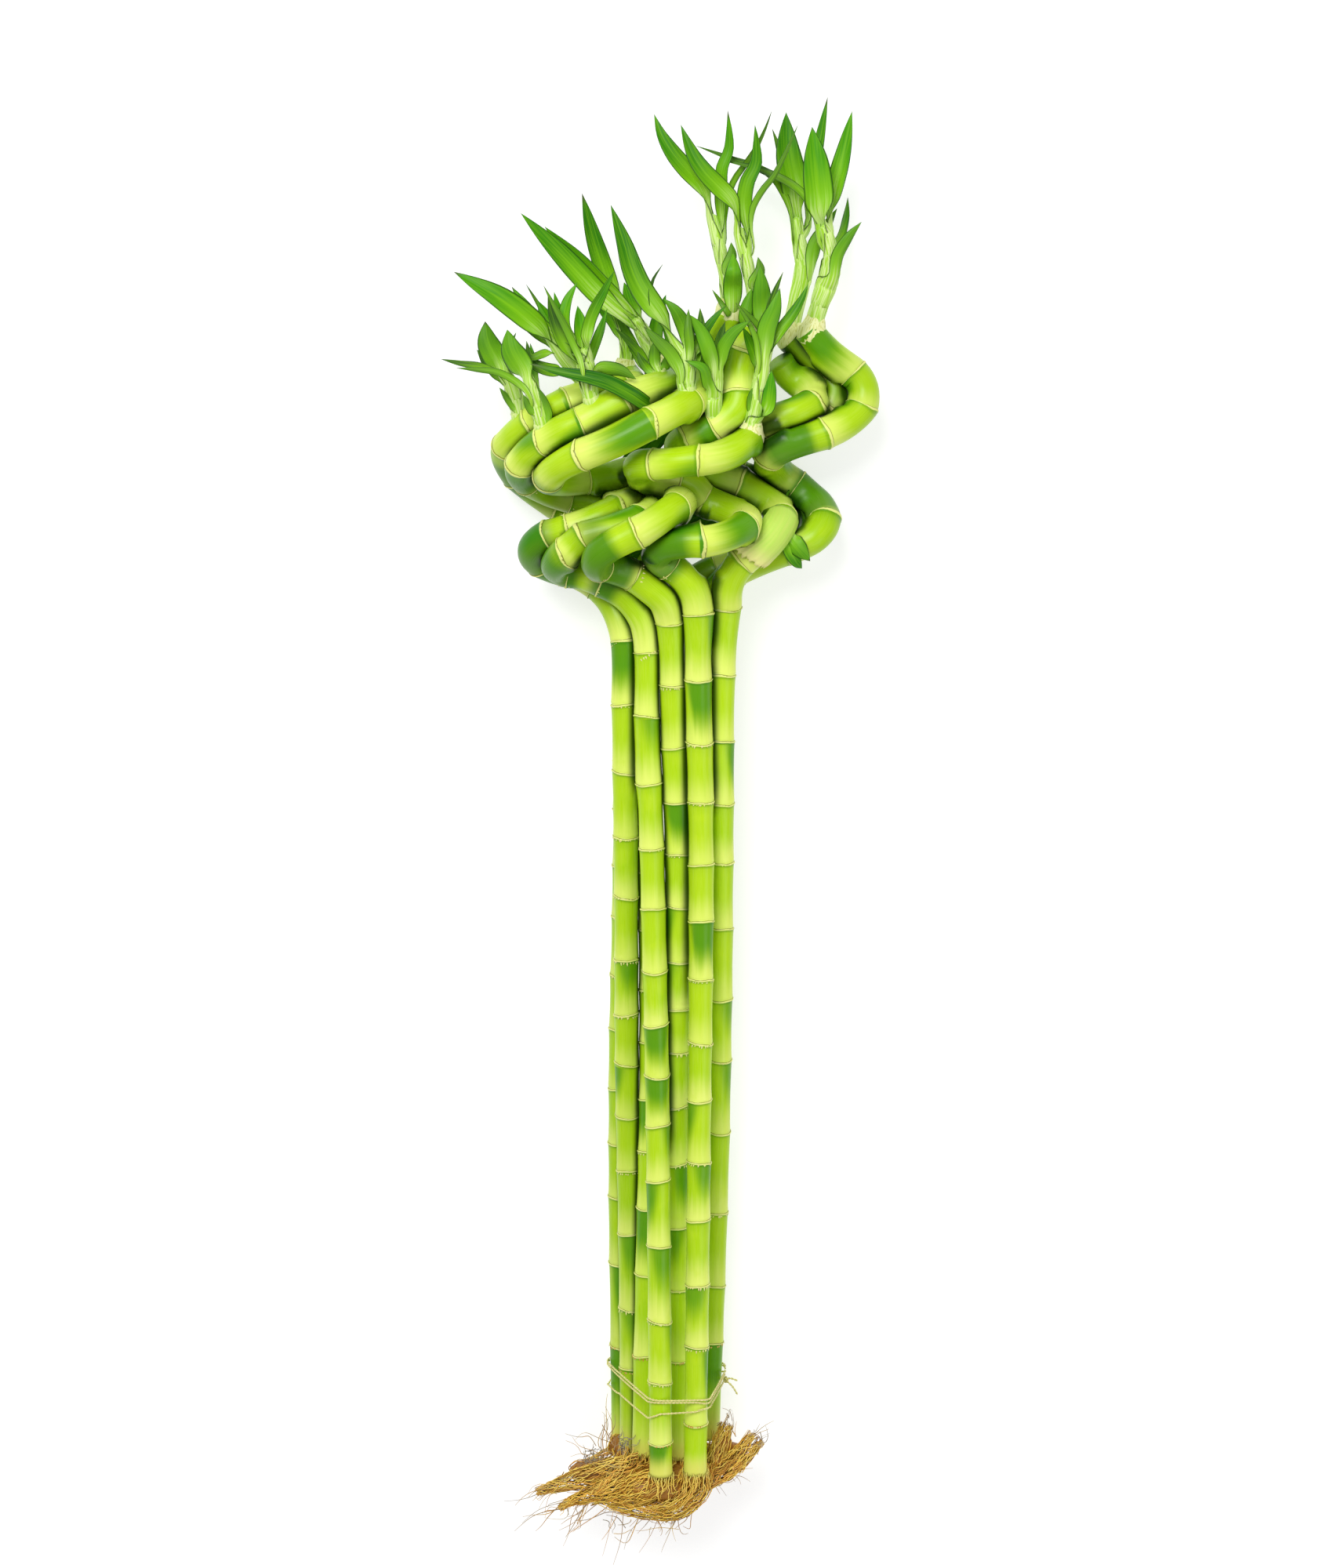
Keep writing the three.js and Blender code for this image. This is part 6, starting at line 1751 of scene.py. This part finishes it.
def string_piece(settings, material):
    """The string with its two loose ends, its knot and the strand beside its first turn."""
    route = curve_through(string_route(), 2)
    knot = route[-1]
    lines = [route]
    for tail in STRING_TAILS:
        lines.append(curve_through(np.array(tail, float) + knot, 4))
    turns = np.linspace(0, KNOT_WINDS * math.pi, KNOT_POINTS)
    wound = [1.1 * np.cos(turns) + 0.4, 1.5 * np.sin(turns * 0.7) - 0.4, 1.2 * np.sin(turns)]
    lines.append(np.stack(wound, 1) + knot)
    beside = route[: len(route) // 2] - (0, 0, STRAND_APART)
    beside[:, 2] += 0.5 * np.sin(np.linspace(0, 19, len(beside)))
    lines.append(beside)
    piece = line_piece("twisted_string", lines)
    radius = settings.thickness / 4
    return baked(piece, string_tree(), Ply_radius=radius, Lay_length=settings.lay, Finish=material)


# ---- torn sheath ----

# The sheath's mesh, how far its torn hem hangs back from HEM at even steps round the cane, and how far
# it flares from there up to its base. It stands off most round one place of its hem.
SHEATH_COLUMNS, SHEATH_ROWS = 84, 18
HEM = 11
HEM_TEETH = (0, 4, 8, 9.5, 9, 7, 5.5, 4, 2, 1, 0, 1, 0)
HEM_FLARES = (1.3, 0.6, 0.15, 0, 0, 0)
STAND_OFF, STAND_AT, STAND_WIDTH = 3.4, 0.3, 0.1


def stepped(share, values):
    """A value between even steps from 0 to 1."""
    return np.interp(share, np.linspace(0, 1, len(values)), values)


def sheath_piece(material):
    """The torn sheath round its cane, open at the back."""
    host = canes()[SHEATH_HOST].path
    inside = SPIRAL_RADIUS + NODE_LIP + GAP + PLUMP
    rng = np.random.default_rng(41)
    across = np.linspace(0, 1, SHEATH_COLUMNS)
    depth = stepped(across, HEM_TEETH) + rng.uniform(-1.3, 1.3, SHEATH_COLUMNS)
    middle = np.zeros((SHEATH_ROWS, SHEATH_COLUMNS, 3))
    outward = np.zeros_like(middle)
    along = np.linspace(0, 1, SHEATH_ROWS)
    hem = SHEATH_FROM + HEM - depth
    marks = hem + (SHEATH_TO - hem) * along[:, None]
    for row in range(SHEATH_ROWS):
        front, other = front_of(host.along(marks[row]))
        turn = np.radians(SHEATH_TURN + SHEATH_OPENING + (360 - 2 * SHEATH_OPENING) * across - 180)
        out = front * np.cos(turn)[:, None] + other * np.sin(turn)[:, None]
        turned_out = 1 + STAND_OFF * np.exp(-(((across - STAND_AT) / STAND_WIDTH) ** 2))
        curl = stepped(along[row], HEM_FLARES) * turned_out * (1 + 0.3 * np.sin(across * 23 + 1))
        curl = curl + 0.05 * np.sin(across * 70)
        middle[row] = host.at(marks[row]) + out * (inside + 0.25 + curl)[:, None]
        outward[row] = out
    thick = outward * (0.1 + 0.12 * along)[:, None, None]
    straight = np.stack([np.broadcast_to(across * 45, marks.shape), 0 * marks, marks], -1)
    tear = np.broadcast_to(1 - along[:, None], marks.shape)
    skin = Skin()
    sheet = folded(middle + thick, middle - thick)
    skin.add_sheet(sheet, straight=folded(straight, straight), tip=folded(tear, tear))
    return skin.build("torn_sheath", material)


# ---- stage ----

# The photograph's camera: its tilt, its place in metres and its lens.
CAMERA_TILT = math.radians(11.65)
CAMERA_PLACE = (0.00281, 0.37002, 1.6716)
CAMERA_LENS = 71.3
FLOOR_HALF_SIDE = 60.0
FLOOR_LEVEL = -0.0004
# Lamps: their name, place, aim, size and share of the window's power.
LAMPS = (
    ("window", (-0.45, 1.2, 1.7), (0, 0.1, 0), 0.9, 1.0),
    ("fill", (1.3, -0.6, 1.5), (0, -0.1, 0), 1.0, 0.25),
)


def stage_floor(settings):
    """The white paper floor, which gives back light of its own."""
    material, tree = new_finish(
        "White paper floor",
        Roughness=0.95,
        Specular_IOR_Level=0.1,
        Emission_Color=settings.floor,
        Emission_Strength=settings.glow,
    )
    faint = tuple(c * 0.985 for c in settings.floor[:3]) + (1,)
    finished(material, mixed(tree, own_noise(tree, 6.0, 2.0), settings.floor, faint))
    corners = ((-1, -1), (1, -1), (1, 1), (-1, 1))
    places = [(x * FLOOR_HALF_SIDE, y * FLOOR_HALF_SIDE, FLOOR_LEVEL) for x, y in corners]
    mesh = new_mesh("floor", places, faces=[(0, 1, 2, 3)])
    mesh.materials.append(material)
    floor = placed("floor", mesh)


def soft_lamp(name, place, target, size, power):
    data = bpy.data.lights.new(name, "AREA")
    data.energy, data.size = power, size
    lamp = placed(name, data)
    lamp.location = place
    lamp.rotation_euler = (Vector(target) - Vector(place)).to_track_quat("-Z", "Y").to_euler()


def studio(settings):
    """The light from all round, the lamps and the photograph's camera."""
    scene = bpy.context.scene
    scene.view_settings.view_transform = "Standard"
    world = bpy.data.worlds.new("studio")
    world.use_nodes = True
    background = world.node_tree.nodes["Background"].inputs
    background[0].default_value = (1, 1, 1, 1)
    background[1].default_value = settings.ambient
    scene.world = world
    for name, place, target, size, share in LAMPS:
        soft_lamp(name, place, target, size, settings.window * share)
    data = bpy.data.cameras.new("photo_camera")
    data.lens = CAMERA_LENS
    data.clip_start = 0.01
    camera = placed("photo_camera", data)
    camera.location = CAMERA_PLACE
    camera.rotation_euler = (-CAMERA_TILT, 0, 0)
    scene.camera = camera


# ---- settings ----


def shade_of(name, place, hex_code):
    values = {"default": colour(hex_code), "size": 4, "subtype": "COLOR", "min": 0, "max": 1}
    return bpy.props.FloatVectorProperty(name=name, description=f"Colour {place}", **values)


def measure(name, description, default, low=0, **limits):
    return bpy.props.FloatProperty(name=name, description=description, default=default, min=low, **limits)


class CaneSettings(bpy.types.PropertyGroup):
    """How the canes and their rings look"""

    sides: bpy.props.IntProperty(name="Sides", description="Facets round a cane", default=26, min=7)
    waist: measure("Waist", "How much an internode narrows", 0.035, subtype="FACTOR", max=0.2)
    swelling: measure("Swelling", "How far a cane swells at a node, in millimetres", 0.22)
    ridge: measure("Ridge", "Height of the ring on a node, in millimetres", 0.42)
    pale: shade_of("Pale", "just above a ring", "#e6f474")
    middle: shade_of("Middle", "of most of a cane", "#aed80c")
    # Dark is partly the cane's own darker green below a ring and partly painted shadow on one side.
    dark: shade_of("Dark", "just below a ring", "#3c8c00")
    # Deep is painted shade: on the lobes' dark ends, on canes behind the front, in the head and below each
    # ring's ridge.
    deep: shade_of("Deep", "of the old shaded ends", "#2c7a02")
    # Crease is painted shade where two canes touch.
    crease: shade_of("Crease", "where two canes touch", "#0f3c02")
    yellow: shade_of("Yellow", "of the sunlit patches", "#c6e61e")
    ridge_colour: shade_of("Ring", "of the raised ring", "#ecee8e")
    # The line's colour is partly painted shadow in the groove above a ring.
    line: shade_of("Line", "of the thin line above a ring", "#6a6a16")
    foot: shade_of("Foot", "of the cut feet among the roots", "#e2e065")
    fray: shade_of("Frays", "of the shreds below the rings", "#e8e4a8")
    bud: shade_of("Root buds", "of the shreds at the lowest rings", "#c98a2c")
    scar: shade_of("Bud scar", "of a bud scar", "#d98a4e")


class ShootSettings(bpy.types.PropertyGroup):
    """How the shoots look"""

    bright: shade_of("Bright", "of the veins and the lower blades", "#8ac812")
    middle: shade_of("Middle", "of most blades", "#469604")
    dark: shade_of("Dark", "of the oldest blades", "#246c04")
    tendril: shade_of("Tendrils", "of the thin old blades", "#38601e")
    base: shade_of("Base", "of stalks and blade bases", "#a6d63a")
    stripe: shade_of("Stripes", "of the pale stripes on stalks and blade bases", "#e0f2a6")
    edge: shade_of("Edge", "of the blade edges", "#1f4a0e")
    under: shade_of("Underside", "of the undersides", "#72ac28")
    dry: shade_of("Dry tip", "of the dried tips", "#4d5c30")
    scales: shade_of("Scales", "of the scales where a stalk leaves its cane", "#eef0b0")
    scale_lines: shade_of("Scale lines", "of the lines on those scales", "#cfd070")


class RootSettings(bpy.types.PropertyGroup):
    """How the mat of roots looks"""

    thickness: measure("Thickness", "How thick the roots are, against the real ones", 1.0, 0.1, max=3)
    # Dark is the mat's body and stained roots, and also painted shade on the roots' flanks.
    dark: shade_of("Dark", "of the mat's body and the stained roots", "#6c3a0a")
    middle: shade_of("Middle", "of most roots", "#f2ac30")
    golden: shade_of("Golden", "of the fresh roots", "#ffd840")
    # Pale is a painted highlight along each root's crown.
    pale: shade_of("Pale", "of the root ends", "#ffe996")
    fresh: shade_of("New", "of the roots where they leave a cane", "#e4dc6e")
    old: shade_of("Old", "of the dead grey roots", "#a09c8e")


class StringSettings(bpy.types.PropertyGroup):
    """How the tie string looks"""

    thickness: measure("Thickness", "Thickness of the string", 0.0013, 0.0002, unit="LENGTH")
    lay: measure("Lay", "Length of one full twist", 0.0042, 0.001, unit="LENGTH")
    body: shade_of("String", "of the string", "#fff8b2")
    shadow: shade_of("Hollows", "between its fibres", "#ccc262")
    stain: shade_of("Stain", "of its stained stretches", "#e8e290")


class SheathSettings(bpy.types.PropertyGroup):
    """How the torn sheath looks"""

    body: shade_of("Sheath", "of the dry sheath", "#c8e45e")
    vein: shade_of("Veins", "left in its veins", "#b4e24e")
    torn: shade_of("Torn edge", "of its torn edge", "#ebe48e")


class StageSettings(bpy.types.PropertyGroup):
    """How the floor and the light look"""

    floor: shade_of("Floor", "of the floor", "#bcbcbc")
    glow: measure("Glow", "Light that the floor gives back evenly", 1.3)
    ambient: measure("Surroundings", "Light from all round", 0.45)
    window: measure("Window", "Power of the large soft lamp", 30.0, unit="POWER")


SETTINGS = {
    "bamboo_canes": CaneSettings,
    "bamboo_shoots": ShootSettings,
    "bamboo_roots": RootSettings,
    "bamboo_string": StringSettings,
    "bamboo_sheath": SheathSettings,
    "bamboo_stage": StageSettings,
}


class BuildCanes(bpy.types.Operator):
    """Builds the eight canes with their rings"""

    bl_idname = "bamboo.canes"
    bl_label = "Canes"

    def execute(self, context):
        settings = context.scene.bamboo_canes
        material = cane_finish(settings)
        for number, cane in enumerate(canes().values(), 1):
            dress(cane_piece(cane, number, settings, material), "cane", cane.name)
        return {"FINISHED"}


class BuildRingFrays(bpy.types.Operator):
    """Hangs the torn shreds below the rings"""

    bl_idname = "bamboo.frays"
    bl_label = "Ring frays"

    def execute(self, context):
        settings = context.scene.bamboo_canes
        dress(frays_piece(settings, fray_finish(settings)), "sheath")
        return {"FINISHED"}


class BuildShoots(bpy.types.Operator):
    """Builds the leafy shoots"""

    bl_idname = "bamboo.shoots"
    bl_label = "Shoots"

    def execute(self, context):
        material = leaf_finish(context.scene.bamboo_shoots)
        for number, shoot in enumerate(shoots(), 1):
            dress(shoot_piece(shoot, number, material), "leaf", shoot.name)
        return {"FINISHED"}


class BuildRoots(bpy.types.Operator):
    """Builds the mat of roots"""

    bl_idname = "bamboo.roots"
    bl_label = "Roots"

    def execute(self, context):
        settings = context.scene.bamboo_roots
        dress(root_piece(settings, root_finish(settings)), "root", "root_mat")
        return {"FINISHED"}


class BuildString(bpy.types.Operator):
    """Winds the string round the canes"""

    bl_idname = "bamboo.string"
    bl_label = "Tie string"

    def execute(self, context):
        settings = context.scene.bamboo_string
        dress(string_piece(settings, string_finish(settings)), "string", "tie_string")
        return {"FINISHED"}


class BuildSheath(bpy.types.Operator):
    """Builds the torn dry sheath"""

    bl_idname = "bamboo.sheath"
    bl_label = "Torn sheath"

    def execute(self, context):
        dress(sheath_piece(husk_finish(context.scene.bamboo_sheath)), "sheath", "dry_sheath")
        return {"FINISHED"}


class BuildStage(bpy.types.Operator):
    """Sets the floor, the lights and the camera"""

    bl_idname = "bamboo.stage"
    bl_label = "Stage"

    def execute(self, context):
        settings = context.scene.bamboo_stage
        stage_floor(settings)
        studio(settings)
        return {"FINISHED"}


OPERATORS = (BuildStage, BuildCanes, BuildRingFrays, BuildShoots, BuildRoots, BuildString, BuildSheath)


class BambooPanel(bpy.types.Panel):
    """Lists the pieces of the bundle"""

    bl_idname = "VIEW3D_PT_bamboo"
    bl_label = "Lucky Bamboo"
    bl_space_type = "VIEW_3D"
    bl_region_type = "UI"
    bl_category = "Lucky Bamboo"

    def draw(self, context):
        for operator in OPERATORS:
            self.layout.operator(operator.bl_idname)
        for name in SETTINGS:
            settings = getattr(context.scene, name)
            box = self.layout.box()
            for key in settings.bl_rna.properties.keys():
                if key not in ("rna_type", "name"):
                    box.prop(settings, key)


def register():
    for name, group in SETTINGS.items():
        bpy.utils.register_class(group)
        setattr(bpy.types.Scene, name, bpy.props.PointerProperty(type=group))
    for made in (*OPERATORS, BambooPanel):
        bpy.utils.register_class(made)


def unregister():
    for made in (*OPERATORS, BambooPanel):
        bpy.utils.unregister_class(made)
    for name, group in SETTINGS.items():
        delattr(bpy.types.Scene, name)
        bpy.utils.unregister_class(group)


def main():
    register()
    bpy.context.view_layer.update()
    for operator in OPERATORS:
        group, name = operator.bl_idname.split(".")
        getattr(getattr(bpy.ops, group), name)()


if __name__ == "__main__":
    main()
